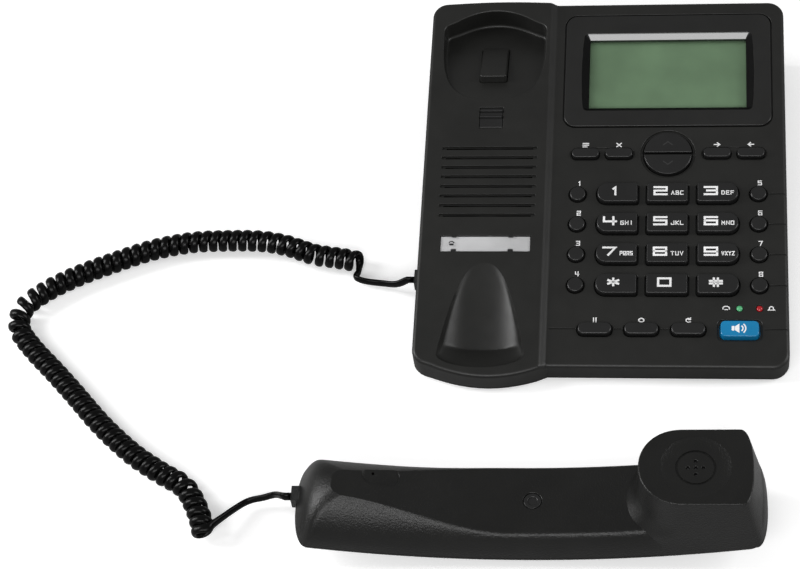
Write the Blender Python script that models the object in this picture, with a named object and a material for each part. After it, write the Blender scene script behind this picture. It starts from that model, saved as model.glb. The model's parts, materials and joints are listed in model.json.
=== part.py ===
"""A corded desk telephone with a display, its handset lying off the hook in front of it.

Lengths are in metres and +Z is up. The desk is the plane z = 0 and +Y points to the back of the set.
The origin is the middle of the footprint that the base and the handset cover together. The base's
sloping top has its own frame: u to the right, v up the slope, h square to it, zero on the key field.
"""
import math

import bmesh
import bpy
from mathutils import Vector

# Clearances and walls that the whole set shares
SEAT_GAP = 0.0003
KEY_GAP = 0.0003
WALL = 0.0022
TOP_WALL = 0.0025
OVERRUN = 0.0020
MILLIMETRES = 1000

# The base: where it stands, its slope and its outer shape
BASE_X = 0.0233
BASE_Y = 0.0510
WEDGE_ANGLE = math.radians(10)
FRONT_HEIGHT = 0.0120
CORNER_RADIUS = 0.0080
EDGE_RADIUS = 0.0020
COLUMN_RAISE = 0.0025
BACK_BULGE = 0.0010
FOOT_HEIGHT = 0.0012
FOOT_RADIUS = 0.0060
FOOT_INSET = 0.0140
FLOOR_WALL = 0.0020
FLOOR_INSET = 0.0008
LIP_HEIGHT = 0.0032
LIP_WALL = 0.0015

# The base from left to right, by what lies on it
LEFT_MARGIN = 0.0068
EAR_WELL_WIDTH = 0.0525
STEP_MARGIN = 0.0014
STEP_WIDTH = 0.0045
BUTTON_MARGIN_LEFT = 0.0085
BUTTON_DIAMETER = 0.0080
BUTTON_SPACE = 0.0056
KEY_WIDTH = 0.0202
KEY_COLUMN_SPACE = 0.0043
BUTTON_MARGIN_RIGHT = 0.0099
KEY_COLUMNS = 3

# The key side from back to front
BEZEL_MARGIN_BACK = 0.0077
BEZEL_DEPTH = 0.0663
NAV_SPACE = 0.0025
NAV_RADIUS = 0.0135
NAV_TO_KEYS = 0.0040
KEY_DEPTH = 0.0110
KEY_ROW_SPACE = 0.0058
KEY_ROWS = 4
LED_SPACE = 0.0066
LAMP_TO_PILLS = 0.0117
PILL_MARGIN_FRONT = 0.0198

# The cradle side from back to front
EAR_MARGIN_BACK = 0.0054
EAR_WELL_LENGTH = 0.0530
TAB_SPACE = 0.0056
TAB_LENGTH = 0.0115
TAB_TO_SLOTS = 0.0121
SLOT_PITCH = 0.00546
SLOT_COUNT = 8
SLOTS_TO_CARD = 0.0117
CARD_DEPTH = 0.0082
CARD_TO_MOUTH = 0.0068
MOUTH_WELL_LENGTH = 0.0561
MOUTH_MARGIN_FRONT = 0.0052

# The display
BEZEL_MARGIN_LEFT = 0.0043
BEZEL_MARGIN_RIGHT = 0.0067
BEZEL_RADIUS = 0.0060
BEZEL_PROUD = 0.0003
BEZEL_THICKNESS = 0.0015
BEZEL_GROOVE = 0.0005
WINDOW_FRAME_SIDE = 0.0098
WINDOW_FRAME_BACK = 0.0111
WINDOW_FRAME_FRONT = 0.0093
WINDOW_RADIUS = 0.0020
WINDOW_TAPER = 0.0025
WINDOW_SINK = 0.0034
COLLAR_WALL = 0.0010
LENS_LAP = 0.0009
LENS_THICKNESS = 0.0012

# Keys and buttons
KEY_TRAVEL = 0.0015
KEY_CHAMFER = 0.0006
FLANGE_REACH = 0.0010
FLANGE_THICKNESS = 0.0010
KEY_PROUD = 0.0028
KEY_END_RADIUS = 0.0050
KEY_CORNER_RADIUS = 0.0012
BUTTON_PROUD = 0.0016
SLIM_LENGTH = 0.0133
SLIM_DEPTH = 0.0047
SLIM_PROUD = 0.0014
SLIM_SPACE = 0.0033
NAV_TO_SLIM = 0.0041
NAV_RIM = 0.0016
NAV_RECESS = 0.0008
NAV_PROUD = 0.0010
NAV_SPLIT = 0.0010
PILL_LENGTH = 0.0162
PILL_DEPTH = 0.0058
PILL_PROUD = 0.0020
PILL_SPACE = 0.0061
PILL_INSET = 0.0018
SPEAKER_KEY_LENGTH = 0.0185
SPEAKER_KEY_DEPTH = 0.0088
SPEAKER_KEY_RADIUS = 0.0012
SPEAKER_KEY_PROUD = 0.0024
SPEAKER_KEY_SPACE = 0.0070
SPEAKER_KEY_RIM = 0.0012
SPEAKER_KEY_RECESS = 0.0007
GROOVE_WIDTH = 0.0008
GROOVE_DEPTH = 0.0005

# Lamps, mat and board under the key field
LED_RADIUS = 0.0015
LED_PROUD = 0.0006
LED_PITCH = 0.0095
MAT_THICKNESS = 0.0012
BOARD_THICKNESS = 0.0016
BOARD_EDGE_SPACE = 0.0013
BOARD_MARGIN_LEFT = 0.0021
BOARD_MARGIN_BACK = 0.0125
BOARD_MARGIN_FRONT = 0.0120
POST_RADIUS = 0.0013
BOSS_RADIUS = 0.0028
BOSS_SPACE = 0.0012
BOSS_SIDE = 0.0120

# The cradle: ear well, hook switch, hanger tab, sound slots, index card and mouth well
EAR_WELL_SINK = 0.0155
EAR_BACK_BULGE = 0.0080
EAR_CORNER = 0.0040
EAR_NARROWING = 0.0065
HOOK_WIDTH = 0.0154
HOOK_LENGTH = 0.0220
HOOK_PROUD = 0.0048
HOOK_NOSE = 0.0012
HOOK_FALL = 0.0034
HOOK_SET_BACK = 0.0190
TAB_WIDTH = 0.0113
TAB_SINK = 0.0040
RIB_SHARES = (0.55, -0.05)
TAB_RIB = 0.0010
SLOT_LENGTH = 0.0480
SLOT_WIDTH = 0.0011
SLOT_DEPTH = 0.0009
SOUND_LENGTH = 0.0260
SOUND_WIDTH = 0.0006
SPEAKER_RADIUS = 0.0200
SPEAKER_RIM = 0.0030
SPEAKER_MAGNET_RADIUS = 0.0095
SPEAKER_DEPTH = 0.0090
CARD_LENGTH = 0.0440
CARD_THICKNESS = 0.0003
COVER_THICKNESS = 0.0007
MOUTH_WELL_WIDTH = 0.0424
MOUTH_WELL_SINK = 0.0105
MOUTH_CREASE = 0.0140
MOUTH_NOSE = 0.0070
MOUTH_SPREAD_POWER = 0.42
MOUTH_END_SHARE = 0.02

# Jacks and plugs
JACK_WIDTH = 0.0110
JACK_HEIGHT = 0.0092
JACK_DEPTH = 0.0160
JACK_LIFT = 0.0072
JACK_BEFORE_APEX = 0.0010
LINE_JACK_X = 0.0300
LINE_JACK_WIDTH = 0.0130
LINE_SOCKET_WIDTH = 0.0100
LINE_SOCKET_HEIGHT = 0.0068
PLUG_WIDTH = 0.0077
PLUG_HEIGHT = 0.0066
PLUG_LENGTH = 0.0120
PLUG_SHOWS = 0.0022
SOCKET_Y = 0.0040
SOCKET_DEPTH = 0.0130

# The handset
HANDSET_X = -0.0062
HANDSET_Y = -0.1310
HANDSET_YAW = math.radians(1.0)
HANDSET_LENGTH = 0.2140
HANDSET_WIDTH = 0.0430
HANDSET_ARCH = 0.0120
HANDSET_SKIN = 0.0020
HANDSET_END_DEPTH = 0.0120
HANDSET_END_POWER = 3.0
BACK_SHELL_HEIGHT = 0.0060
FACE_SHELL_HEIGHT = 0.0150
CUP_TOP = 0.0500
CUP_LENGTH = 0.0505
CUP_WIDTH = 0.0390
CUP_END_SET_BACK = 0.0065
CUP_FLARE = 0.0070
CUP_SIDE_FLARE = 0.0019
CUP_END_DEPTH = 0.0080
CUP_GRIP_POWER = 2.2
CUP_END_POWER = 3.4
CUP_DISH_RADIUS = 0.0165
CUP_DISH_DEPTH = 0.0006
EAR_HOLE_RADIUS = 0.0008
EAR_HOLE_PITCH = 0.0034
RECEIVER_RADIUS = 0.0155
RECEIVER_THICKNESS = 0.0060
MIC_FROM_TIP = 0.0370
MIC_Y = 0.0070
MIC_RADIUS = 0.0048
MIC_THICKNESS = 0.0035
MIC_HOLE_RADIUS = 0.0007
SCREW_CAP_X = 0.0020
SCREW_CAP_RADIUS = 0.0040
SCREW_CAP_THICKNESS = 0.0012

# The cord
CORD_DIAMETER = 0.0033
COIL_DIAMETER = 0.0120
CURL_PITCH = 0.0050
CURL_POINTS = 8
TAIL_STEP = 0.0066

# Cord routes over the desk, in world coordinates
COIL_ROUTE = [
    (-0.0975, 0.0142, 0.0062), (-0.1040, 0.0165, 0.0062), (-0.1120, 0.0182, 0.0062),
    (-0.1224, 0.0206, 0.0062), (-0.1370, 0.0262, 0.0062), (-0.1510, 0.0290, 0.0062),
    (-0.1690, 0.0292, 0.0062), (-0.1867, 0.0280, 0.0062), (-0.2060, 0.0232, 0.0062),
    (-0.2248, 0.0152, 0.0062), (-0.2430, 0.0062, 0.0062), (-0.2575, -0.0035, 0.0062),
    (-0.2668, -0.0140, 0.0062), (-0.2668, -0.0265, 0.0062), (-0.2575, -0.0390, 0.0062),
    (-0.2445, -0.0523, 0.0062), (-0.2325, -0.0650, 0.0062), (-0.2150, -0.0840, 0.0062),
    (-0.1977, -0.0996, 0.0062), (-0.1830, -0.1097, 0.0062), (-0.1702, -0.1175, 0.0062),
    (-0.1635, -0.1270, 0.0062), (-0.1600, -0.1380, 0.0062)]
BASE_TAIL_ROUTE = [(-0.0790, 0.0016, 0.0070), (-0.0854, 0.0054, 0.0026), (-0.0915, 0.0102, 0.0038)]
HANDSET_TAIL_ROUTE = [(-0.1565, -0.1430, 0.0045), (-0.1515, -0.1425, 0.0024),
                      (-0.1475, -0.1365, 0.0020), (-0.1407, -0.1265, 0.0022),
                      (-0.1300, -0.1225, 0.0060), (-0.1220, -0.1262, 0.0140)]

# Places that follow from the sizes above
KEY_PITCH_X = KEY_WIDTH + KEY_COLUMN_SPACE
KEY_PITCH_Y = KEY_DEPTH + KEY_ROW_SPACE
KEYPAD_WIDTH = KEY_COLUMNS * KEY_WIDTH + (KEY_COLUMNS - 1) * KEY_COLUMN_SPACE
KEY_ROWS_SPAN = (KEY_ROWS - 1) * KEY_PITCH_Y
BASE_WIDTH = (LEFT_MARGIN + EAR_WELL_WIDTH + STEP_MARGIN + STEP_WIDTH + BUTTON_MARGIN_LEFT
              + BUTTON_DIAMETER + BUTTON_SPACE + KEYPAD_WIDTH + BUTTON_SPACE + BUTTON_DIAMETER
              + BUTTON_MARGIN_RIGHT)
BASE_DEPTH = (BEZEL_MARGIN_BACK + BEZEL_DEPTH + NAV_SPACE + NAV_RADIUS + NAV_RADIUS + NAV_TO_KEYS
              + KEY_DEPTH + KEY_ROWS_SPAN + LED_SPACE + LAMP_TO_PILLS + PILL_MARGIN_FRONT)
LEFT = -BASE_WIDTH / 2
RIGHT = BASE_WIDTH / 2
BACK = BASE_DEPTH / 2
FRONT = -BASE_DEPTH / 2
TOP_AT_MIDDLE = FRONT_HEIGHT + BASE_DEPTH / 2 * math.sin(WEDGE_ANGLE)
FLOOR_TOP = FOOT_HEIGHT + FLOOR_WALL
SKIRT = FLOOR_TOP + SEAT_GAP

STEP_START = LEFT + LEFT_MARGIN + EAR_WELL_WIDTH + STEP_MARGIN
STEP_END = STEP_START + STEP_WIDTH
LEFT_BUTTONS = STEP_END + BUTTON_MARGIN_LEFT + BUTTON_DIAMETER / 2
FIRST_COLUMN = LEFT_BUTTONS + BUTTON_DIAMETER / 2 + BUTTON_SPACE + KEY_WIDTH / 2
MIDDLE_COLUMN = FIRST_COLUMN + KEYPAD_WIDTH / 2 - KEY_WIDTH / 2
RIGHT_BUTTONS = RIGHT - BUTTON_MARGIN_RIGHT - BUTTON_DIAMETER / 2
BEZEL_BACK = BACK - BEZEL_MARGIN_BACK
BEZEL_LEFT = STEP_END + BEZEL_MARGIN_LEFT
BEZEL_RIGHT = RIGHT - BEZEL_MARGIN_RIGHT
BEZEL_WIDTH = BEZEL_RIGHT - BEZEL_LEFT
BEZEL_U = BEZEL_LEFT + BEZEL_WIDTH / 2
BEZEL_V = BEZEL_BACK - BEZEL_DEPTH / 2
WINDOW_WIDTH = BEZEL_WIDTH - 2 * WINDOW_FRAME_SIDE
WINDOW_DEPTH = BEZEL_DEPTH - WINDOW_FRAME_BACK - WINDOW_FRAME_FRONT
WINDOW_V = BEZEL_V + (WINDOW_FRAME_FRONT - WINDOW_FRAME_BACK) / 2
NAV_V = BEZEL_BACK - BEZEL_DEPTH - NAV_SPACE - NAV_RADIUS
FIRST_ROW = NAV_V - NAV_RADIUS - NAV_TO_KEYS - KEY_DEPTH / 2
LAST_ROW = FIRST_ROW - KEY_ROWS_SPAN
LED_V = LAST_ROW - KEY_DEPTH / 2 - LED_SPACE
PILL_V = LED_V - LAMP_TO_PILLS
FIRST_PILL = LEFT_BUTTONS + PILL_INSET + PILL_LENGTH / 2
PILL_PITCH = PILL_LENGTH + PILL_SPACE
SPEAKER_KEY_U = (FIRST_PILL + 2 * PILL_PITCH + PILL_LENGTH / 2 + SPEAKER_KEY_SPACE
                 + SPEAKER_KEY_LENGTH / 2)

INNER = COLUMN_RAISE - TOP_WALL
FLANGE_TOP = -TOP_WALL - SEAT_GAP
FLANGE_BOTTOM = FLANGE_TOP - FLANGE_THICKNESS
MAT_TOP = FLANGE_BOTTOM - KEY_TRAVEL - SEAT_GAP
MAT_BOTTOM = MAT_TOP - MAT_THICKNESS
BOARD_TOP = MAT_BOTTOM - SEAT_GAP
BOARD_BOTTOM = BOARD_TOP - BOARD_THICKNESS
BOARD_LEFT = STEP_END + BOARD_MARGIN_LEFT
BOARD_RIGHT = RIGHT - WALL - LIP_WALL - 2 * SEAT_GAP
BOARD_BACK = BACK - BOARD_MARGIN_BACK
BOARD_FRONT = FRONT + BOARD_MARGIN_FRONT
POST_LEFT = BOARD_LEFT + POST_RADIUS + BOARD_EDGE_SPACE
POST_RIGHT = BOARD_RIGHT - POST_RADIUS - SEAT_GAP

EAR_BACK = BACK - EAR_MARGIN_BACK
EAR_FRONT = EAR_BACK - EAR_WELL_LENGTH
COLUMN_U = LEFT + LEFT_MARGIN + EAR_WELL_WIDTH / 2
EAR_FLOOR_ANGLE = math.atan2(EAR_WELL_SINK, EAR_WELL_LENGTH)
HOOK_V = EAR_BACK - HOOK_SET_BACK - HOOK_LENGTH / 2
HOOK_H = COLUMN_RAISE - (HOOK_V - EAR_FRONT) * math.tan(EAR_FLOOR_ANGLE)
TAB_V = EAR_FRONT - TAB_SPACE - TAB_LENGTH / 2
FIRST_SLOT = TAB_V - TAB_LENGTH / 2 - TAB_TO_SLOTS
LAST_SLOT = FIRST_SLOT - (SLOT_COUNT - 1) * SLOT_PITCH
CARD_V = LAST_SLOT - SLOTS_TO_CARD - CARD_DEPTH / 2
MOUTH_APEX = CARD_V - CARD_DEPTH / 2 - CARD_TO_MOUTH
MOUTH_FRONT = MOUTH_APEX - MOUTH_WELL_LENGTH
JACK_Y = MOUTH_APEX - JACK_BEFORE_APEX
MIC_X = MIC_FROM_TIP - HANDSET_LENGTH / 2
LOBE_REACH = FRONT - (MOUTH_FRONT - MOUTH_MARGIN_FRONT)
LOBE_LEFT = LEFT + CORNER_RADIUS
LOBE_HALF = (STEP_END - LOBE_LEFT) / 2
BOSS_LEFT = LEFT + WALL + BOSS_RADIUS + FLOOR_WALL

# Table of shares: how far each ring of the rounded top edge has turned
EDGE_TURN_SHARES = [0.0, 0.35, 0.7, 1.0]
# Table of shares: the soft step's height across its width
STEP_SHARES = [(0.0, 1.0), (0.25, 0.88), (0.5, 0.5), (0.75, 0.12), (1.0, 0.0)]


def slope_point(u, v, h=0.0):
    """Returns a point of the slope's frame in the base's own frame."""
    along = math.sin(WEDGE_ANGLE)
    across = math.cos(WEDGE_ANGLE)
    return Vector((u, v * across - h * along, TOP_AT_MIDDLE + v * along + h * across))


def raise_at(u):
    """Returns how far the housing's top stands over the key field at u."""
    share = (u - STEP_START) / STEP_WIDTH
    if share <= 0.0:
        return COLUMN_RAISE
    for (low, high_value), (high, low_value) in zip(STEP_SHARES, STEP_SHARES[1:]):
        if share <= high:
            part = (share - low) / (high - low)
            return COLUMN_RAISE * (high_value + (low_value - high_value) * part)
    return 0.0


def arc(centre_x, centre_y, radius, start, sweep, steps):
    """Returns steps + 1 points along an arc, angles in degrees."""
    points = []
    for i in range(steps + 1):
        angle = math.radians(start + sweep * i / steps)
        points.append((centre_x + radius * math.cos(angle), centre_y + radius * math.sin(angle)))
    return points


def circle(radius, sides, u=0.0, v=0.0):
    """Returns the points of a circle."""
    return arc(u, v, radius, 0, 360 - 360 / sides, sides - 1)


def box_outline(width, depth, left_radius, right_radius=None, steps=2, u=0.0, v=0.0):
    """Returns a rectangle whose left and right corners have their own radii."""
    right_radius = left_radius if right_radius is None else right_radius
    x, y = width / 2, depth / 2
    points = arc(u + x - right_radius, v - y + right_radius, right_radius, -90, 90, steps)
    points += arc(u + x - right_radius, v + y - right_radius, right_radius, 0, 90, steps)
    points += arc(u - x + left_radius, v + y - left_radius, left_radius, 90, 90, steps)
    points += arc(u - x + left_radius, v - y + left_radius, left_radius, 180, 90, steps)
    return points


def base_outline():
    """Returns the base's plan on the slope: straight sides, a bulged back and the front lobe."""
    r = CORNER_RADIUS
    points = arc(RIGHT - r, FRONT + r, r, -90, 90, 5)
    points += arc(RIGHT - r, BACK - r, r, 0, 90, 5)
    for i in range(9):
        share = i / 8
        u = STEP_END + (LEFT + r - STEP_END) * share
        points.append((u, BACK + BACK_BULGE * math.sin(math.pi * share)))
    points += arc(LEFT + r, BACK - r, r, 90, 90, 5)[1:]
    points += arc(LEFT + r, FRONT + r, r, 180, 70, 4)
    for i in range(1, 13):
        share = i / 12
        u = LOBE_LEFT + 2 * LOBE_HALF * share
        points.append((u, FRONT - LOBE_REACH * math.sin(math.pi * share) ** 0.8))
    return points


def inset(outline, amount):
    """Returns a closed outline with each point moved inward along its corner's bisector."""
    moved = []
    count = len(outline)
    for i, point in enumerate(outline):
        here = Vector(point)
        before = (here - Vector(outline[i - 1])).normalized()
        after = (Vector(outline[(i + 1) % count]) - here).normalized()
        normal = Vector((-before.y - after.y, before.x + after.x)).normalized()
        spread = max(normal.dot(Vector((-before.y, before.x))), 0.5)
        moved.append(tuple(here + normal * amount / spread))
    return moved


def flat_ring(outline, h):
    """Returns an outline's points at one height."""
    return [Vector((u, v, h)) for u, v in outline]


def add_rings(mesh, rings, closed=False):
    """Adds one body: rings of equal count joined in order, capped, or joined back to the first."""
    loops = [[mesh.verts.new(point) for point in ring] for ring in rings]
    count = len(loops[0])
    pairs = list(zip(loops, loops[1:]))
    if closed:
        pairs.append((loops[-1], loops[0]))
    for low, high in pairs:
        for i in range(count):
            j = (i + 1) % count
            mesh.faces.new((low[i], low[j], high[j], high[i]))
    if not closed:
        mesh.faces.new(list(reversed(loops[0])))
        mesh.faces.new(loops[-1])
    return loops


def prism(outline, low, high):
    """Returns the two rings of an upright prism."""
    return [flat_ring(outline, low), flat_ring(outline, high)]


def make_material(name, colour, roughness, metallic=0.0):
    """Returns a plain surface with the piece's colour and gloss."""
    material = bpy.data.materials.new(name)
    material.use_nodes = True
    shader = material.node_tree.nodes["Principled BSDF"]
    shader.inputs["Base Color"].default_value = (*colour, 1.0)
    shader.inputs["Roughness"].default_value = roughness
    shader.inputs["Metallic"].default_value = metallic
    return material


def add_object(name, mesh, material=None, parent=None, location=(0, 0, 0), rotation=(0, 0, 0)):
    """Puts a bmesh in the scene as a named object."""
    data = bpy.data.meshes.new(name)
    bmesh.ops.recalc_face_normals(mesh, faces=mesh.faces)
    mesh.to_mesh(data)
    mesh.free()
    piece = bpy.data.objects.new(name, data)
    bpy.context.scene.collection.objects.link(piece)
    piece.parent = parent
    piece.location = location
    piece.rotation_euler = rotation
    if material:
        data.materials.append(material)
    data.shade_smooth()
    data.set_sharp_from_angle(angle=math.radians(35))
    return piece


def solid(name, bodies, material=None, closed=False, **place):
    """Makes an object from one list of rings, or a cutter from several."""
    mesh = bmesh.new()
    for rings in bodies:
        add_rings(mesh, rings, closed)
    return add_object(name, mesh, material, **place)


def as_cutter(piece):
    """Marks an object as a guide that is left out of the model."""
    piece.hide_render = True
    piece.display_type = "WIRE"
    return piece


def combine(piece, cutter, operation="DIFFERENCE"):
    """Cuts, joins or trims a piece with another object."""
    modifier = piece.modifiers.new(operation.lower(), "BOOLEAN")
    modifier.operation = operation
    modifier.object = cutter
    modifier.solver = "EXACT"
    return modifier


def stepped_body(outline, bottom, top_rings):
    """Returns a bmesh of an upright body whose top follows the slope and the soft step."""
    mesh = bmesh.new()
    rings = []
    lowest = [slope_point(u, v, top_rings[0][1]) for u, v in outline]
    rings.append([Vector((p.x, p.y, bottom)) for p in lowest])
    for amount, h in top_rings:
        rings.append([slope_point(u, v, h) for u, v in inset(outline, amount)])
    add_rings(mesh, rings)
    for share, _ in STEP_SHARES:
        cut = STEP_START + STEP_WIDTH * share
        geometry = mesh.verts[:] + mesh.edges[:] + mesh.faces[:]
        bmesh.ops.bisect_plane(mesh, geom=geometry, plane_co=(cut, 0, 0), plane_no=(1, 0, 0))
    lift = Vector((0, -math.sin(WEDGE_ANGLE), math.cos(WEDGE_ANGLE)))
    for vert in mesh.verts:
        if vert.co.z > bottom + SEAT_GAP:
            vert.co += lift * raise_at(vert.co.x)
    bmesh.ops.triangulate(mesh, faces=[face for face in mesh.faces if len(face.verts) > 4])
    return mesh


def ear_well(grow):
    """Returns the rings of the ear well, or of its outer bowl when grow is its wall."""
    half = EAR_WELL_WIDTH / 2 + grow
    back = EAR_BACK + grow
    front = EAR_FRONT - grow
    outline = arc(COLUMN_U + half - EAR_CORNER, back - EAR_BACK_BULGE - EAR_CORNER, EAR_CORNER, 0, 70, 2)
    for i in range(1, 8):
        share = i / 8
        outline.append((COLUMN_U + (half - EAR_CORNER) * (1 - 2 * share),
                        back - EAR_BACK_BULGE * (1 - 2 * share) ** 2))
    outline += arc(COLUMN_U - half + EAR_CORNER, back - EAR_BACK_BULGE - EAR_CORNER, EAR_CORNER, 110, 70, 2)
    middle = (back + front) / 2
    outline.append((COLUMN_U - half, middle))
    outline.append((COLUMN_U - half + EAR_NARROWING, front + EAR_CORNER))
    outline.append((COLUMN_U - half + EAR_NARROWING + EAR_CORNER, front))
    outline.append((COLUMN_U + half - EAR_NARROWING - EAR_CORNER, front))
    outline.append((COLUMN_U + half - EAR_NARROWING, front + EAR_CORNER))
    outline.append((COLUMN_U + half, middle))
    slant = math.tan(EAR_FLOOR_ANGLE)
    level = COLUMN_RAISE - SEAT_GAP - grow
    floor = [Vector((u, v, level - (v - EAR_FRONT) * slant)) for u, v in outline]
    lid = COLUMN_RAISE + OVERRUN if grow == 0 else COLUMN_RAISE - SEAT_GAP
    top = [Vector((u, v, max(lid, point.z + OVERRUN))) for (u, v), point in zip(outline, floor)]
    return [floor, top]


def mouth_well(grow):
    """Returns the rings of the mouth well's scoop, from its apex to its front lip."""
    rings = []
    length = MOUTH_WELL_LENGTH
    stations = 12
    lid = COLUMN_RAISE + OVERRUN if grow == 0 else COLUMN_RAISE - SEAT_GAP
    for i in range(stations + 1):
        share = MOUTH_END_SHARE + (1 - 2 * MOUTH_END_SHARE) * i / stations
        v = MOUTH_APEX - length * share
        opening = min(share * length / (length - MOUTH_NOSE), 1.0) ** MOUTH_SPREAD_POWER
        nose = max(share * length - (length - MOUTH_NOSE), 0.0) / MOUTH_NOSE
        half = MOUTH_WELL_WIDTH / 2 * opening * math.sqrt(max(1 - nose ** 2, 0.02)) + grow
        fall = min(share * length / (length - MOUTH_CREASE), 1.0)
        rise = max(share * length - (length - MOUTH_CREASE), 0.0) / MOUTH_CREASE
        deep = MOUTH_WELL_SINK * fall * (1 - rise) + grow
        ring = [Vector((COLUMN_U + half, v, lid)), Vector((COLUMN_U - half, v, lid))]
        for k in range(9):
            angle = math.pi * (1 - k / 8)
            side = math.cos(angle)
            down = COLUMN_RAISE - deep * math.sin(angle) - SEAT_GAP
            ring.append(Vector((COLUMN_U + half * side, v, min(down, lid - SEAT_GAP))))
        rings.append(ring)
    rings[0] = [Vector((p.x, p.y + grow, p.z)) for p in rings[0]]
    rings[-1] = [Vector((p.x, p.y - grow, p.z)) for p in rings[-1]]
    return rings


def half_disc(radius, offset, upper, steps=8):
    """Returns one half of a disc, its straight side offset from the middle."""
    start = math.degrees(math.asin(offset / radius))
    if upper:
        return arc(0, 0, radius, start, 180 - 2 * start, steps)
    return arc(0, 0, radius, 180 + start, 180 - 2 * start, steps)


def keycap(name, shape, proud, material, frame, u, v):
    """Makes a key: a cap that stands proud of the housing, with a flange under it."""
    rings = [flat_ring(shape(FLANGE_REACH), FLANGE_BOTTOM), flat_ring(shape(FLANGE_REACH), FLANGE_TOP),
             flat_ring(shape(0.0), FLANGE_TOP), flat_ring(shape(0.0), proud - KEY_CHAMFER),
             flat_ring(shape(-KEY_CHAMFER), proud)]
    return solid(name, [rings], material, parent=frame, location=(u, v, 0))


def opening(shape, u, v):
    """Returns the rings of the hole that a key moves in."""
    outline = [(x + u, y + v) for x, y in shape(KEY_GAP)]
    return prism(outline, -TOP_WALL - OVERRUN, COLUMN_RAISE + OVERRUN)


def key_plan():
    """Returns every key as (name, shape, proud, colour name, u, v)."""
    plan = []
    names = ["1", "2", "3", "4", "5", "6", "7", "8", "9", "star", "0", "hash"]
    for i, name in enumerate(names):
        column, row = i % KEY_COLUMNS, i // KEY_COLUMNS
        ends = (KEY_END_RADIUS if column == 0 else KEY_CORNER_RADIUS,
                KEY_END_RADIUS if column == KEY_COLUMNS - 1 else KEY_CORNER_RADIUS)

        def key_shape(grow, ends=ends):
            return box_outline(KEY_WIDTH + 2 * grow, KEY_DEPTH + 2 * grow, ends[0] + grow, ends[1] + grow)
        plan.append(("key_" + name, key_shape, KEY_PROUD, "black", FIRST_COLUMN + column * KEY_PITCH_X,
                     FIRST_ROW - row * KEY_PITCH_Y))
    for side, u in (("left", LEFT_BUTTONS), ("right", RIGHT_BUTTONS)):
        for row in range(KEY_ROWS):
            plan.append((f"memory_button_{side}_{row + 1}",
                         lambda grow: circle(BUTTON_DIAMETER / 2 + grow, 12),
                         BUTTON_PROUD, "black", u, FIRST_ROW - row * KEY_PITCH_Y))
    near = NAV_RADIUS - NAV_RIM + NAV_TO_SLIM + NAV_RIM + SLIM_LENGTH / 2
    far = near + SLIM_LENGTH + SLIM_SPACE
    for i, offset in enumerate((-far, -near, near, far)):
        plan.append((f"menu_key_{i + 1}",
                     lambda grow: box_outline(SLIM_LENGTH + 2 * grow, SLIM_DEPTH + 2 * grow,
                                              SLIM_DEPTH / 2 - KEY_GAP + grow),
                     SLIM_PROUD, "black", MIDDLE_COLUMN + offset, NAV_V))
    for i in range(3):
        plan.append((f"function_key_{i + 1}",
                     lambda grow: box_outline(PILL_LENGTH + 2 * grow, PILL_DEPTH + 2 * grow,
                                              PILL_DEPTH / 2 - KEY_GAP + grow),
                     PILL_PROUD, "black", FIRST_PILL + i * PILL_PITCH, PILL_V))
    plan.append(("speaker_key",
                 lambda grow: box_outline(SPEAKER_KEY_LENGTH + 2 * grow, SPEAKER_KEY_DEPTH + 2 * grow,
                                          SPEAKER_KEY_RADIUS + grow),
                 SPEAKER_KEY_PROUD, "blue", SPEAKER_KEY_U, PILL_V))
    radius = NAV_RADIUS - NAV_RIM
    for name, upper in (("nav_up", True), ("nav_down", False)):
        plan.append((name, lambda grow, upper=upper: half_disc(radius + grow, NAV_SPLIT / 2, upper),
                     NAV_PROUD, "black", MIDDLE_COLUMN, NAV_V))
    return plan


def led_places():
    """Returns the places of the two lamps."""
    ring_u = SPEAKER_KEY_U + LED_PITCH
    return [("led_in_use", "green", SPEAKER_KEY_U, LED_V), ("led_ring", "red", ring_u, LED_V)]


def housing_openings():
    """Returns the bodies that cut the top housing on its slope."""
    bodies = [opening(shape, u, v) for name, shape, _, _, u, v in key_plan() if "nav" not in name]
    low, high = -TOP_WALL - OVERRUN, COLUMN_RAISE + OVERRUN
    nav = circle(NAV_RADIUS - NAV_RIM + KEY_GAP, 24, MIDDLE_COLUMN, NAV_V)
    bodies.append(prism(nav, low, high))
    for _, _, u, v in led_places():
        bodies.append(prism(circle(LED_RADIUS + KEY_GAP, 10, u, v), low, high))
    around = 2 * (COLLAR_WALL + SEAT_GAP)
    collar = box_outline(WINDOW_WIDTH + around, WINDOW_DEPTH + around,
                         WINDOW_RADIUS + COLLAR_WALL, u=BEZEL_U, v=WINDOW_V)
    bodies.append(prism(collar, low, high))
    tab = box_outline(TAB_WIDTH + 2 * KEY_GAP, TAB_LENGTH + 2 * KEY_GAP, KEY_GAP, steps=1, u=COLUMN_U, v=TAB_V)
    bodies.append(prism(tab, low, high))
    for i in range(SLOT_COUNT):
        v = FIRST_SLOT - i * SLOT_PITCH
        sound = box_outline(SOUND_LENGTH, SOUND_WIDTH, SOUND_WIDTH / 4, steps=1, u=COLUMN_U, v=v)
        bodies.append(prism(sound, low, high))
    return bodies


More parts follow.
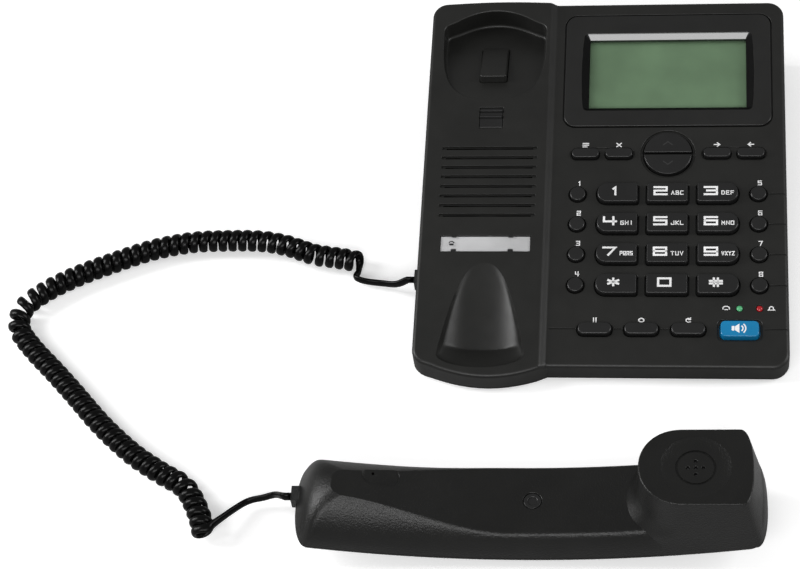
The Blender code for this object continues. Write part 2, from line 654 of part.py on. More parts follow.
def housing_recesses():
    """Returns the shallow bodies that sink places into the top housing."""
    high = COLUMN_RAISE + OVERRUN
    plate = box_outline(BEZEL_WIDTH + 2 * BEZEL_GROOVE, BEZEL_DEPTH + 2 * BEZEL_GROOVE,
                        BEZEL_RADIUS + BEZEL_GROOVE, steps=4, u=BEZEL_U, v=BEZEL_V)
    bodies = [prism(plate, BEZEL_PROUD - BEZEL_THICKNESS - SEAT_GAP, high)]
    bodies.append(prism(circle(NAV_RADIUS, 24, MIDDLE_COLUMN, NAV_V), -NAV_RECESS, high))
    rim = box_outline(SPEAKER_KEY_LENGTH + 2 * SPEAKER_KEY_RIM, SPEAKER_KEY_DEPTH + 2 * SPEAKER_KEY_RIM,
                      SPEAKER_KEY_RADIUS + SPEAKER_KEY_RIM, u=SPEAKER_KEY_U, v=PILL_V)
    bodies.append(prism(rim, -SPEAKER_KEY_RECESS, high))
    card = box_outline(CARD_LENGTH + 2 * SEAT_GAP, CARD_DEPTH + 2 * SEAT_GAP, SEAT_GAP, steps=1,
                       u=COLUMN_U, v=CARD_V)
    bodies.append(prism(card, COLUMN_RAISE - COVER_THICKNESS - CARD_THICKNESS - 2 * SEAT_GAP, high))
    for i in range(SLOT_COUNT):
        v = FIRST_SLOT - i * SLOT_PITCH
        groove = box_outline(SLOT_LENGTH, SLOT_WIDTH, SLOT_WIDTH / 4, steps=1, u=COLUMN_U, v=v)
        bodies.append(prism(groove, COLUMN_RAISE - SLOT_DEPTH, high))
    reach = RIGHT_BUTTONS + BUTTON_DIAMETER / 2 + FLANGE_REACH
    for row in range(KEY_ROWS):
        line = box_outline(RIGHT + OVERRUN - reach, GROOVE_WIDTH, GROOVE_WIDTH / 4, steps=1,
                           u=(RIGHT + OVERRUN + reach) / 2, v=FIRST_ROW - row * KEY_PITCH_Y)
        bodies.append(prism(line, -GROOVE_DEPTH, high))
    return bodies


def make_top_housing(material, base, slope):
    """Makes the top housing: a stepped shell with its wells, posts, holes and recesses."""
    edge = [(EDGE_RADIUS * (1 - math.cos(share * math.pi / 2)),
             EDGE_RADIUS * (math.sin(share * math.pi / 2) - 1)) for share in EDGE_TURN_SHARES]
    housing = add_object("top_housing", stepped_body(base_outline(), SKIRT, edge), material, base)
    inner = inset(base_outline(), WALL)
    space = as_cutter(add_object("inner_space", stepped_body(inner, SKIRT - OVERRUN, [(0.0, -TOP_WALL)]),
                                 parent=base))
    for name, rings in (("ear_bowl", ear_well(WALL)), ("mouth_bowl", mouth_well(WALL))):
        combine(space, as_cutter(solid(name, [rings], parent=slope)))
    posts = [prism(circle(POST_RADIUS, 8, u, v), BOARD_TOP + SEAT_GAP, INNER)
             for u in (POST_LEFT, POST_RIGHT) for v in (LAST_ROW, BOARD_BACK - 2 * BOSS_RADIUS)]
    combine(space, as_cutter(solid("posts", posts, parent=slope)))
    bosses = []
    right = RIGHT - BOSS_SIDE
    lip_back = slope_point(0, BACK, -EDGE_RADIUS).y - WALL - LIP_WALL - SEAT_GAP
    board_back = slope_point(0, BOARD_BACK, BOARD_BOTTOM).y
    board_front = slope_point(0, BOARD_FRONT, BOARD_BOTTOM).y
    for u, y in ((BOSS_LEFT, slope_point(0, CARD_V).y), (BOSS_LEFT, slope_point(0, TAB_V).y),
                 (right, board_front - BOSS_RADIUS - BOSS_SPACE), (right, (board_back + lip_back) / 2)):
        top = slope_point(u, y / math.cos(WEDGE_ANGLE), INNER).z
        bosses.append(prism(circle(BOSS_RADIUS, 8, u, y), SKIRT, top))
    combine(space, as_cutter(solid("bosses", bosses, parent=base)))
    combine(housing, space)
    wells = as_cutter(solid("wells", [ear_well(0.0), mouth_well(0.0)], parent=slope))
    combine(housing, wells)
    combine(housing, as_cutter(solid("openings", housing_openings(), parent=slope)))
    combine(housing, as_cutter(solid("recesses", housing_recesses(), parent=slope)))
    back = slope_point(0, BACK, -EDGE_RADIUS).y
    middle = JACK_LIFT + JACK_HEIGHT / 2
    side_hole = block(LEFT, JACK_Y, middle, 2 * (WALL + OVERRUN), JACK_WIDTH + 2 * SEAT_GAP,
                      JACK_HEIGHT + 2 * SEAT_GAP)
    back_hole = block(LINE_JACK_X, back, middle, LINE_JACK_WIDTH + 2 * SEAT_GAP, 2 * (WALL + OVERRUN),
                      JACK_HEIGHT + 2 * SEAT_GAP)
    combine(housing, as_cutter(solid("jack_holes", [side_hole, back_hole], parent=base)))
    return housing


def block(x, y, z, width, depth, height):
    """Returns the rings of a box about its middle."""
    corners = [(x - width / 2, y - depth / 2), (x + width / 2, y - depth / 2),
               (x + width / 2, y + depth / 2), (x - width / 2, y + depth / 2)]
    return prism(corners, z - height / 2, z + height / 2)


def make_bottom_housing(material, base):
    """Makes the bottom housing: a floor plate with a lip that stands inside the top housing."""
    def ring(amount, z):
        return [Vector((*slope_point(u, v, -EDGE_RADIUS).xy, z)) for u, v in inset(base_outline(), amount)]
    lip = WALL + SEAT_GAP
    rings = [ring(FLOOR_INSET, FOOT_HEIGHT), ring(FLOOR_INSET, FLOOR_TOP), ring(lip, FLOOR_TOP),
             ring(lip, FLOOR_TOP + LIP_HEIGHT), ring(lip + LIP_WALL, FLOOR_TOP + LIP_HEIGHT),
             ring(lip + LIP_WALL, FLOOR_TOP)]
    return solid("bottom_housing", [rings], material, parent=base)


def make_feet(material, base):
    """Makes the four rubber feet under the corners."""
    for side, u in (("left", LEFT + FOOT_INSET), ("right", RIGHT - FOOT_INSET)):
        for end, v in (("front", FRONT + FOOT_INSET), ("back", BACK - FOOT_INSET)):
            outline = circle(FOOT_RADIUS, 16, u, slope_point(u, v, -EDGE_RADIUS).y)
            solid(f"foot_{end}_{side}", [prism(outline, 0.0, FOOT_HEIGHT - SEAT_GAP)], material, parent=base)


def make_display(materials, slope):
    """Makes the display's bezel, clear lens and liquid crystal panel."""
    def window(grow, h):
        return flat_ring(box_outline(WINDOW_WIDTH + 2 * grow, WINDOW_DEPTH + 2 * grow,
                                     WINDOW_RADIUS, u=BEZEL_U, v=WINDOW_V), h)

    def plate(h):
        return flat_ring(box_outline(BEZEL_WIDTH, BEZEL_DEPTH, BEZEL_RADIUS, u=BEZEL_U, v=BEZEL_V), h)
    under = BEZEL_PROUD - BEZEL_THICKNESS
    rings = [window(COLLAR_WALL, -WINDOW_SINK), window(COLLAR_WALL, under), plate(under), plate(BEZEL_PROUD),
             window(0.0, BEZEL_PROUD), window(-WINDOW_TAPER, -WINDOW_SINK)]
    solid("display_bezel", [rings], materials["bezel"], closed=True, parent=slope)
    top = -WINDOW_SINK - SEAT_GAP
    grow = LENS_LAP - WINDOW_TAPER
    solid("display_lens", [[window(grow, top - LENS_THICKNESS), window(grow, top)]], materials["clear"],
          parent=slope)
    glass_top = top - LENS_THICKNESS - SEAT_GAP
    solid("lcd_panel", [[window(grow, BOARD_TOP + SEAT_GAP), window(grow, glass_top)]], materials["glass"],
          parent=slope)


def make_board_and_mat(materials, slope):
    """Makes the main board, the rubber key mat and the two lamps."""
    board = box_outline(BOARD_RIGHT - BOARD_LEFT, BOARD_BACK - BOARD_FRONT, POST_RADIUS, steps=1,
                        u=(BOARD_LEFT + BOARD_RIGHT) / 2, v=(BOARD_FRONT + BOARD_BACK) / 2)
    solid("main_board", [prism(board, BOARD_BOTTOM, BOARD_TOP)], materials["board"], parent=slope)
    left = POST_LEFT + POST_RADIUS + SEAT_GAP
    right = POST_RIGHT - POST_RADIUS - SEAT_GAP
    front = PILL_V - SPEAKER_KEY_DEPTH / 2 - FLANGE_REACH
    back = NAV_V + NAV_RADIUS
    outline = box_outline(right - left, back - front, POST_RADIUS, steps=1, u=(left + right) / 2,
                          v=(front + back) / 2)
    mat = solid("keypad_mat", [prism(outline, MAT_BOTTOM, MAT_TOP)], materials["rubber"], parent=slope)
    holes = [prism(circle(LED_RADIUS + 2 * KEY_GAP, 10, u, v), MAT_BOTTOM - OVERRUN, MAT_TOP + OVERRUN)
             for _, _, u, v in led_places()]
    combine(mat, as_cutter(solid("mat_holes", holes, parent=slope)))
    for name, colour, u, v in led_places():
        wide = circle(LED_RADIUS, 10)
        rings = [flat_ring(wide, BOARD_TOP + SEAT_GAP), flat_ring(wide, 0.0),
                 flat_ring(circle(LED_RADIUS / 2, 10), LED_PROUD)]
        solid(name, [rings], materials[colour], parent=slope, location=(u, v, 0))


def make_cradle(materials, slope):
    """Makes the hook switch, the hanger tab, the index card, its cover and the loudspeaker."""
    hook = bpy.data.objects.new("hook_frame", None)
    bpy.context.scene.collection.objects.link(hook)
    hook.parent = slope
    hook.location = (COLUMN_U, HOOK_V, HOOK_H)
    hook.rotation_euler = (-EAR_FLOOR_ANGLE, 0, 0)

    def plunger(grow, h, fall=0.0):
        outline = box_outline(HOOK_WIDTH + 2 * grow, HOOK_LENGTH + 2 * grow, HOOK_NOSE + max(grow, -SEAT_GAP))
        return [Vector((x, y, h - fall * (0.5 + y / HOOK_LENGTH))) for x, y in outline]
    reach = FLANGE_REACH + FLANGE_REACH / 2
    under = -WALL - SEAT_GAP
    rings = [plunger(reach, under - FLANGE_THICKNESS), plunger(reach, under), plunger(0.0, under),
             plunger(0.0, HOOK_PROUD - HOOK_NOSE, HOOK_FALL), plunger(-HOOK_NOSE, HOOK_PROUD, HOOK_FALL)]
    solid("hook_switch", [rings], materials["black"], parent=hook)
    hole = [plunger(KEY_GAP, under - OVERRUN), plunger(KEY_GAP, HOOK_PROUD)]
    combine(bpy.data.objects["top_housing"], as_cutter(solid("hook_hole", [hole], parent=hook)))

    top = COLUMN_RAISE
    half = TAB_LENGTH / 2
    side = [(-half, -TAB_SINK), (half, -TAB_SINK), (half, top)]
    for share in RIB_SHARES:
        start = half * share
        side += [(start + TAB_RIB, top), (start + TAB_RIB, top + TAB_RIB), (start, top + TAB_RIB), (start, top)]
    side.append((-half, top))
    rings = [[Vector((x, v, h)) for v, h in side] for x in (-TAB_WIDTH / 2, TAB_WIDTH / 2)]
    solid("hanger_tab", [rings], materials["black"], parent=slope, location=(COLUMN_U, TAB_V, 0))

    card = box_outline(CARD_LENGTH, CARD_DEPTH, SEAT_GAP, steps=1)
    cover_bottom = COLUMN_RAISE - COVER_THICKNESS
    card_top = cover_bottom - SEAT_GAP
    place = {"parent": slope, "location": (COLUMN_U, CARD_V, 0)}
    solid("index_card", [prism(card, card_top - CARD_THICKNESS, card_top)], materials["card"], **place)
    solid("index_cover", [prism(card, cover_bottom, COLUMN_RAISE)], materials["clear"], **place)

    v = (FIRST_SLOT + LAST_SLOT) / 2
    top = INNER - SEAT_GAP
    rim = top - SPEAKER_RIM
    rings = [flat_ring(circle(SPEAKER_MAGNET_RADIUS, 20), top - SPEAKER_DEPTH),
             flat_ring(circle(SPEAKER_MAGNET_RADIUS, 20), (rim + top - SPEAKER_DEPTH) / 2),
             flat_ring(circle(SPEAKER_RADIUS, 20), rim), flat_ring(circle(SPEAKER_RADIUS, 20), top)]
    solid("loudspeaker", [rings], materials["metal"], parent=slope, location=(COLUMN_U, v, 0))


def socket(name, width, height, depth, mouth_width, mouth_height, mouth_depth, material, **place):
    """Makes a jack: a block open at its front, which looks along its own +Z."""
    def ring(w, h, z):
        return flat_ring([(-w / 2, -h / 2), (w / 2, -h / 2), (w / 2, h / 2), (-w / 2, h / 2)], z)
    rings = [ring(width, height, -depth), ring(width, height, 0.0), ring(mouth_width, mouth_height, 0.0),
             ring(mouth_width, mouth_height, -mouth_depth)]
    return solid(name, [rings], material, **place)


def make_jacks(materials, base):
    """Makes the handset jack in the left wall and the line jack in the back wall."""
    middle = JACK_LIFT + JACK_HEIGHT / 2
    socket("handset_jack", JACK_WIDTH, JACK_HEIGHT, JACK_DEPTH, PLUG_WIDTH + 2 * SEAT_GAP,
           PLUG_HEIGHT + 2 * SEAT_GAP, SOCKET_DEPTH, materials["black"], parent=base,
           location=(LEFT, JACK_Y, middle), rotation=(math.pi / 2, 0, -math.pi / 2))
    socket("line_jack", LINE_JACK_WIDTH, JACK_HEIGHT, JACK_DEPTH, LINE_SOCKET_WIDTH, LINE_SOCKET_HEIGHT,
           SOCKET_DEPTH, materials["black"], parent=base,
           location=(LINE_JACK_X, slope_point(0, BACK, -EDGE_RADIUS).y, middle),
           rotation=(math.pi / 2, 0, math.pi))


def capsule_outline(left, right, half, left_depth, right_depth, left_power, right_power):
    """Returns half of a long plan, tip to tip: straight sides between two swelling ends."""
    stations = []
    turns, spans = 5, 8
    for i in range(turns + 1):
        angle = math.pi / 2 * i / turns
        x = left + left_depth * (1 - math.cos(angle) ** (2 / left_power))
        stations.append((x, half * math.sin(angle) ** (2 / left_power)))
    start, end = left + left_depth, right - right_depth
    for i in range(1, spans):
        stations.append((start + (end - start) * i / spans, half))
    for i in range(turns, -1, -1):
        angle = math.pi / 2 * i / turns
        x = right - right_depth * (1 - math.cos(angle) ** (2 / right_power))
        stations.append((x, half * math.sin(angle) ** (2 / right_power)))
    return stations


def add_paired_rings(mesh, rings):
    """Adds one body whose end faces are strips between the two sides of each ring."""
    loops = []
    for ring in rings:
        near = [mesh.verts.new((x, -y, z)) for x, y, z in ring]
        far = [mesh.verts.new((x, y, z)) for x, y, z in ring[1:-1]]
        loops.append(near + far[::-1])
    count = len(loops[0])
    for low, high in zip(loops, loops[1:]):
        for i in range(count):
            j = (i + 1) % count
            mesh.faces.new((low[i], low[j], high[j], high[i]))
    tip = len(rings[0]) - 1
    for loop in (loops[0], loops[-1]):
        for i in range(tip):
            strip = [loop[i], loop[i + 1], loop[(count - i - 1) % count], loop[(count - i) % count]]
            mesh.faces.new(list(dict.fromkeys(strip)))


def arch(x):
    """Returns how far the handset's underside has left the desk at x."""
    return HANDSET_ARCH * (x / (HANDSET_LENGTH / 2)) ** 2


# Tables of shares: each ring's inset at the side, the mouth end and the ear end, and its height
FACE_INSET_SHARES = [(0.0, 0.0, 0.0, 0.0), (0.06, 0.23, 0.1, 0.33), (0.22, 0.53, 0.25, 0.63),
                     (0.53, 0.87, 0.55, 0.87), (1.0, 1.27, 1.0, 1.0)]
BACK_INSET_SHARES = [(1.0, 1.0, 1.0, 0.0), (0.35, 0.5, 0.45, 0.2), (0.08, 0.15, 0.12, 0.6),
                     (0.0, 0.0, 0.0, 1.0)]


def handset_body(shares, reach, foot, height, skin, below=0.0, above=0.0):
    """Returns a bmesh of one handset half: rings that follow the arch, smaller by the skin."""
    rings = []
    side_reach, mouth_reach, ear_reach = reach
    for i, (side, mouth, ear, up) in enumerate(shares):
        half = HANDSET_WIDTH / 2 - side * side_reach - skin
        left = -HANDSET_LENGTH / 2 + mouth * mouth_reach + skin
        right = HANDSET_LENGTH / 2 - ear * ear_reach - skin
        depth = HANDSET_END_DEPTH - skin
        z = foot + height * up
        if i == 0:
            z -= below
        if i == len(shares) - 1:
            z += above
        plan = capsule_outline(left, right, half, depth, depth, HANDSET_END_POWER, HANDSET_END_POWER)
        rings.append([(x, y, z + arch(x)) for x, y in plan])
    mesh = bmesh.new()
    add_paired_rings(mesh, rings)
    return mesh


def cup_body(skin, high):
    """Returns a bmesh of the ear cup, whose round end faces the grip and whose foot follows the arch."""
    rings = []
    right = HANDSET_LENGTH / 2 - CUP_END_SET_BACK
    foot = BACK_SHELL_HEIGHT + SEAT_GAP + skin
    shoulder = high - CUP_DISH_DEPTH - SEAT_GAP
    for share, up in ((1.0, 0.0), (0.5, 0.5), (0.1, (shoulder - foot) / (high - foot)), (0.0, 1.0)):
        half = CUP_WIDTH / 2 + CUP_SIDE_FLARE * share - skin
        left = right - CUP_LENGTH - CUP_FLARE * share ** 2 + skin
        end = right + CUP_SIDE_FLARE * share - skin
        plan = capsule_outline(left, end, half, half, CUP_END_DEPTH - skin, CUP_GRIP_POWER, CUP_END_POWER)
        rings.append([(x, y, (foot + arch(x)) * (1 - up) + high * up) for x, y in plan])
    mesh = bmesh.new()
    add_paired_rings(mesh, rings)
    return mesh


def make_handset(materials):
    """Makes the handset: face and back shells, capsules and the screw's cap. Its frame is its lift."""
    handset = bpy.data.objects.new("handset_frame", None)
    bpy.context.scene.collection.objects.link(handset)
    handset.location = (HANDSET_X, HANDSET_Y, 0)
    handset.rotation_euler = (0, 0, HANDSET_YAW)
    reach = (FACE_SHELL_HEIGHT * 2 / 3, FACE_SHELL_HEIGHT, FACE_SHELL_HEIGHT / 3)
    face = add_object("handset_face", handset_body(FACE_INSET_SHARES, reach, BACK_SHELL_HEIGHT,
                                                   FACE_SHELL_HEIGHT, 0.0), materials["black"], handset)
    cup = as_cutter(add_object("cup_outside", cup_body(0.0, CUP_TOP), parent=handset))
    combine(face, cup, "UNION")
    space = handset_body(FACE_INSET_SHARES, reach, BACK_SHELL_HEIGHT - HANDSET_SKIN, FACE_SHELL_HEIGHT,
                         HANDSET_SKIN, OVERRUN)
    space = as_cutter(add_object("face_space", space, parent=handset))
    hollow = cup_body(HANDSET_SKIN, CUP_TOP - CUP_DISH_DEPTH - HANDSET_SKIN)
    hollow = as_cutter(add_object("cup_space", hollow, parent=handset))
    combine(space, hollow, "UNION")
    combine(face, space)

    cup_x = HANDSET_LENGTH / 2 - CUP_END_SET_BACK - CUP_LENGTH / 2
    holes = [prism(circle(CUP_DISH_RADIUS, 32, cup_x), CUP_TOP - CUP_DISH_DEPTH, CUP_TOP + OVERRUN)]
    combine(face, as_cutter(solid("dish", holes, parent=handset)))
    high = CUP_TOP + OVERRUN
    holes = []
    for x, y in ((0, 0), (1, 0), (-1, 0), (0, 1), (0, -1)):
        outline = circle(EAR_HOLE_RADIUS, 6, cup_x + x * EAR_HOLE_PITCH, y * EAR_HOLE_PITCH)
        holes.append(prism(outline, CUP_TOP - HANDSET_SKIN - CUP_DISH_DEPTH - OVERRUN, high))
    mic_top = BACK_SHELL_HEIGHT + FACE_SHELL_HEIGHT + arch(MIC_X)
    holes.append(prism(circle(MIC_HOLE_RADIUS, 6, MIC_X, MIC_Y), mic_top - HANDSET_SKIN - OVERRUN, high))
    cap_top = BACK_SHELL_HEIGHT + FACE_SHELL_HEIGHT + arch(SCREW_CAP_X)
    cap_seat = cap_top - SCREW_CAP_THICKNESS - SEAT_GAP
    holes.append(prism(circle(SCREW_CAP_RADIUS + SEAT_GAP, 16, SCREW_CAP_X), cap_seat, high))
    combine(face, as_cutter(solid("handset_holes", holes, parent=handset)))

    tip = -HANDSET_LENGTH / 2
    middle = arch(tip) + BACK_SHELL_HEIGHT
    mouth = block(tip, SOCKET_Y, middle, 2 * SOCKET_DEPTH, PLUG_WIDTH + 2 * SEAT_GAP,
                  PLUG_HEIGHT + 2 * SEAT_GAP)
    socket_hole = as_cutter(solid("socket_hole", [mouth], parent=handset))
    combine(face, socket_hole)

    back_reach = (FACE_SHELL_HEIGHT * 2 / 3, FACE_SHELL_HEIGHT / 2, FACE_SHELL_HEIGHT / 2)
    shell = handset_body(BACK_INSET_SHARES, back_reach, 0.0, BACK_SHELL_HEIGHT - SEAT_GAP, 0.0)
    back = add_object("handset_back", shell, materials["black"], handset)
    trough = handset_body(BACK_INSET_SHARES, back_reach, HANDSET_SKIN, BACK_SHELL_HEIGHT - HANDSET_SKIN,
                          HANDSET_SKIN, 0.0, OVERRUN)
    trough = as_cutter(add_object("back_space", trough, parent=handset))
    combine(back, trough)
    combine(back, socket_hole)

    top = CUP_TOP - CUP_DISH_DEPTH - HANDSET_SKIN - SEAT_GAP
    solid("receiver_capsule", [prism(circle(RECEIVER_RADIUS, 24), top - RECEIVER_THICKNESS, top)],
          materials["metal"], parent=handset, location=(cup_x, 0, 0))
    top = BACK_SHELL_HEIGHT + FACE_SHELL_HEIGHT - HANDSET_SKIN - 2 * SEAT_GAP + arch(MIC_X + MIC_RADIUS)
    solid("microphone_capsule", [prism(circle(MIC_RADIUS, 16), top - MIC_THICKNESS, top)], materials["metal"],
          parent=handset, location=(MIC_X, MIC_Y, 0))
    solid("screw_cap", [prism(circle(SCREW_CAP_RADIUS, 16), cap_top - SCREW_CAP_THICKNESS, cap_top)],
          materials["black"], parent=handset, location=(SCREW_CAP_X, 0, 0))
    return handset


def smooth_route(points, samples=24):
    """Returns closely spaced points of a smooth curve through a route's points."""
    route = [Vector(point) for point in points]
    ends = [2 * route[0] - route[1]] + route + [2 * route[-1] - route[-2]]
    curve = []
    for a, b, c, d in zip(ends, ends[1:], ends[2:], ends[3:]):
        for i in range(samples):
            t = i / samples
            curve.append(0.5 * (2 * b + (c - a) * t + (2 * a - 5 * b + 4 * c - d) * t ** 2
                                + (3 * b - a - 3 * c + d) * t ** 3))
    curve.append(route[-1])
    return curve


def spaced(curve, step):
    """Returns points an even step apart along a curve, its two ends included."""
    length = sum((b - a).length for a, b in zip(curve, curve[1:]))
    count = max(2, round(length / step))
    points, walked, wanted = [curve[0]], 0.0, length / count
    for a, b in zip(curve, curve[1:]):
        piece = (b - a).length
        while walked + piece >= wanted and len(points) < count:
            points.append(a.lerp(b, (wanted - walked) / piece))
            wanted += length / count
        walked += piece
    points.append(curve[-1])
    return points


def curly_points():
    """Returns the curly cord's points: curls of even inner pitch wound round its route."""
    line = spaced(smooth_route(COIL_ROUTE), CORD_DIAMETER / 8)
    radius = (COIL_DIAMETER - CORD_DIAMETER) / 2
    turns, turn = [0.0], 0.0
    for a, b, c in zip(line, line[1:], line[2:]):
        bend = (b - a).angle(c - b) / (b - a).length
        pitch = CURL_PITCH / max(1 - bend * radius, CURL_PITCH / COIL_DIAMETER)
        turn += (b - a).length / pitch
        turns.append(turn)
    turns.append(turn)
    total = math.floor(turn) - 1
    points = [line[0]]
    steps = total * CURL_POINTS
    index = 0
    for i in range(steps + 1):
        want = 0.5 + i / CURL_POINTS
        while turns[index + 1] < want:
            index += 1
        share = (want - turns[index]) / (turns[index + 1] - turns[index])
        centre = line[index].lerp(line[index + 1], share)
        along = (line[index + 1] - line[index]).normalized()
        side = along.cross(Vector((0, 0, 1))).normalized()
        up = side.cross(along)
        ramp = min(1.0, i / CURL_POINTS, (steps - i) / CURL_POINTS)
        angle = 2 * math.pi * i / CURL_POINTS
        points.append(centre + radius * ramp * (side * math.cos(angle) + up * math.sin(angle)))
    points.append(line[-1])
    return points


def least_gap(points):
    """Returns the least gap between a tube and itself, one curl or more apart."""
    gaps = []
    for i, a in enumerate(points):
        for b in points[i + CURL_POINTS - 2:]:
            gaps.append((a - b).length)
    return min(gaps) - CORD_DIAMETER


def tube(name, points, material, sides):
    """Makes a cord's stretch as a curve with a round section and closed ends."""
    curve = bpy.data.curves.new(name, "CURVE")
    curve.dimensions = "3D"
    curve.bevel_depth = CORD_DIAMETER / 2
    curve.bevel_resolution = sides
    curve.use_fill_caps = True
    spline = curve.splines.new("POLY")
    spline.points.add(len(points) - 1)
    for target, point in zip(spline.points, points):
        target.co = (*point, 1.0)
    curve.materials.append(material)
    piece = bpy.data.objects.new(name, curve)
    bpy.context.scene.collection.objects.link(piece)
    return piece


def make_cord(materials, base, handset):
    """Makes the curly cord with its two tails and its two plugs."""
    bpy.context.view_layer.update()
    middle = JACK_LIFT + JACK_HEIGHT / 2

    def plug(name, **place):
        def ring(z):
            w, h = PLUG_WIDTH / 2, PLUG_HEIGHT / 2
            return flat_ring([(-w, -h), (w, -h), (w, h), (-w, h)], z)
        return solid(name, [[ring(PLUG_SHOWS - PLUG_LENGTH), ring(PLUG_SHOWS)]], materials["clear"], **place)
    plug("plug_base", parent=base, location=(LEFT, JACK_Y, middle), rotation=(math.pi / 2, 0, -math.pi / 2))
    tip = -HANDSET_LENGTH / 2
    socket_z = arch(tip) + BACK_SHELL_HEIGHT
    plug("plug_handset", parent=handset, location=(tip, SOCKET_Y, socket_z),
         rotation=(math.pi / 2, 0, -math.pi / 2))
    out = PLUG_SHOWS + SEAT_GAP
    straight = CORD_DIAMETER
    curls = curly_points()
    begin = curls[0] - (curls[1] - curls[0]).normalized() * SEAT_GAP
    finish = curls[-1] + (curls[-1] - curls[-2]).normalized() * SEAT_GAP
    start = base.matrix_world @ Vector((LEFT - out, JACK_Y, middle))
    leave = base.matrix_world @ Vector((LEFT - out - straight, JACK_Y, middle))
    before = begin - (curls[1] - curls[0]).normalized() * straight
    way = spaced(smooth_route([leave] + [Vector(p) for p in BASE_TAIL_ROUTE] + [before]), TAIL_STEP)
    tube("cord_tail_base", [start] + way + [begin], materials["cord"], 2)
    after = finish + (curls[-1] - curls[-2]).normalized() * straight
    meet = handset.matrix_world @ Vector((tip - out, SOCKET_Y, socket_z))
    arrive = handset.matrix_world @ Vector((tip - out - straight, SOCKET_Y, socket_z))
    way = spaced(smooth_route([after] + [Vector(p) for p in HANDSET_TAIL_ROUTE] + [arrive]), TAIL_STEP)
    tube("cord_tail_handset", [finish] + way + [meet], materials["cord"], 2)
    tube("curly_cord", curls, materials["cord"], 1)
    count = (len(curls) - 2) // CURL_POINTS
    print(f"curls: {count}, least gap to itself: {least_gap(curls) * MILLIMETRES:.2f} mm")


def main():
    """Clears the scene and builds the telephone."""
    for old in list(bpy.data.objects):
        bpy.data.objects.remove(old)
    materials = {
        "black": make_material("black_plastic", (0.012, 0.012, 0.013), 0.38),
        "bezel": make_material("bezel_plastic", (0.014, 0.014, 0.015), 0.30),
        "clear": make_material("clear_plastic", (0.80, 0.82, 0.82), 0.08),
        "glass": make_material("display_green", (0.19, 0.27, 0.19), 0.35),
        "board": make_material("board_green", (0.02, 0.12, 0.05), 0.50),
        "rubber": make_material("mat_rubber", (0.30, 0.30, 0.31), 0.70),
        "foot": make_material("foot_rubber", (0.02, 0.02, 0.02), 0.85),
        "blue": make_material("blue_plastic", (0.01, 0.16, 0.55), 0.30),
        "green": make_material("green_lens", (0.05, 0.60, 0.20), 0.15),
        "red": make_material("red_lens", (0.65, 0.03, 0.04), 0.15),
        "card": make_material("white_card", (0.80, 0.80, 0.80), 0.60),
        "metal": make_material("speaker_steel", (0.30, 0.30, 0.31), 0.40, 0.9),
        "cord": make_material("cord_black", (0.010, 0.010, 0.011), 0.28),
    }
    base = bpy.data.objects.new("base_frame", None)
    slope = bpy.data.objects.new("slope_frame", None)
    for empty in (base, slope):
        bpy.context.scene.collection.objects.link(empty)
    base.location = (BASE_X, BASE_Y, 0)
    slope.parent = base
    slope.location = (0, 0, TOP_AT_MIDDLE)
    slope.rotation_euler = (WEDGE_ANGLE, 0, 0)

    make_top_housing(materials["black"], base, slope)
    make_bottom_housing(materials["black"], base)
    make_feet(materials["foot"], base)
    make_display(materials, slope)
    make_board_and_mat(materials, slope)
    make_cradle(materials, slope)
    make_jacks(materials, base)
    for name, shape, proud, colour, u, v in key_plan():
        keycap(name, shape, proud, materials[colour], slope, u, v)
    handset = make_handset(materials)
    make_cord(materials, base, handset)


main()
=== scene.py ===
"""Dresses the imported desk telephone: housing, display, keys, cradle, handset and curly cord.

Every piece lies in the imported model's own frame, in metres. The housing's slanted top is described
in slope coordinates: u to the right, v up the slope and h away from it.
"""

from __future__ import annotations

import json
import logging
import math
from collections.abc import Callable, Sequence
from dataclasses import dataclass, field
from enum import Enum

import bmesh
import bpy
import numpy as np
from mathutils import Matrix, Vector

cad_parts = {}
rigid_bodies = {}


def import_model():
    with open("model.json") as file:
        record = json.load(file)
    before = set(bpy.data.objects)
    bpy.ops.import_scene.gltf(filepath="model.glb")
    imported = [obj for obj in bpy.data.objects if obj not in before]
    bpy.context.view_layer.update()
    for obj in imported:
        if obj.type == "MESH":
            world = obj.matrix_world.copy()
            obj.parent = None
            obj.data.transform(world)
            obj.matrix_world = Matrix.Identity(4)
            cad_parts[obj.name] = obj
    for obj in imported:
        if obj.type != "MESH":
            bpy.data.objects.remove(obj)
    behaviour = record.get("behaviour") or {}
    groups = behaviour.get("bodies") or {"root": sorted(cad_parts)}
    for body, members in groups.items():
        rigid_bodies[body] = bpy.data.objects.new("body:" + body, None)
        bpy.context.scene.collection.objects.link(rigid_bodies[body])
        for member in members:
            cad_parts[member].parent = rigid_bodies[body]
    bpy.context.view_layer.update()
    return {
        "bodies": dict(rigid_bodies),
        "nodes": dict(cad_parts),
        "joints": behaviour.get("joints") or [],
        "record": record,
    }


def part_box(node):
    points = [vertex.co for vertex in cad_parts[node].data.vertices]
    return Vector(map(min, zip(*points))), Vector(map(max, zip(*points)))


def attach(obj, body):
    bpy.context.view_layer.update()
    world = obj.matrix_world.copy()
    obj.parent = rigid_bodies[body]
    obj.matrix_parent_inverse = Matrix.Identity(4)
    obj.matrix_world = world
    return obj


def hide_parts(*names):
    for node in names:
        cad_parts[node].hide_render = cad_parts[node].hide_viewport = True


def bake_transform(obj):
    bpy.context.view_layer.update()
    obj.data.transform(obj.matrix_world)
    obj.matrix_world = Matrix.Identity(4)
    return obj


LOG = logging.getLogger("telephone")
MM = 0.001
OVERRUN = 2 * MM
LEAST_RADIUS = 0.05 * MM
QUARTER = math.pi / 2
LAST_TURN = math.radians(75)
SMOOTH_BELOW = math.radians(38)
SAME_PLANE = 0.1 * MM
SAME_SLANT = 120
PLANE_LEAD = 1.5
LARGEST_FILL = 6
WHITE = (1.0, 1.0, 1.0, 1.0)

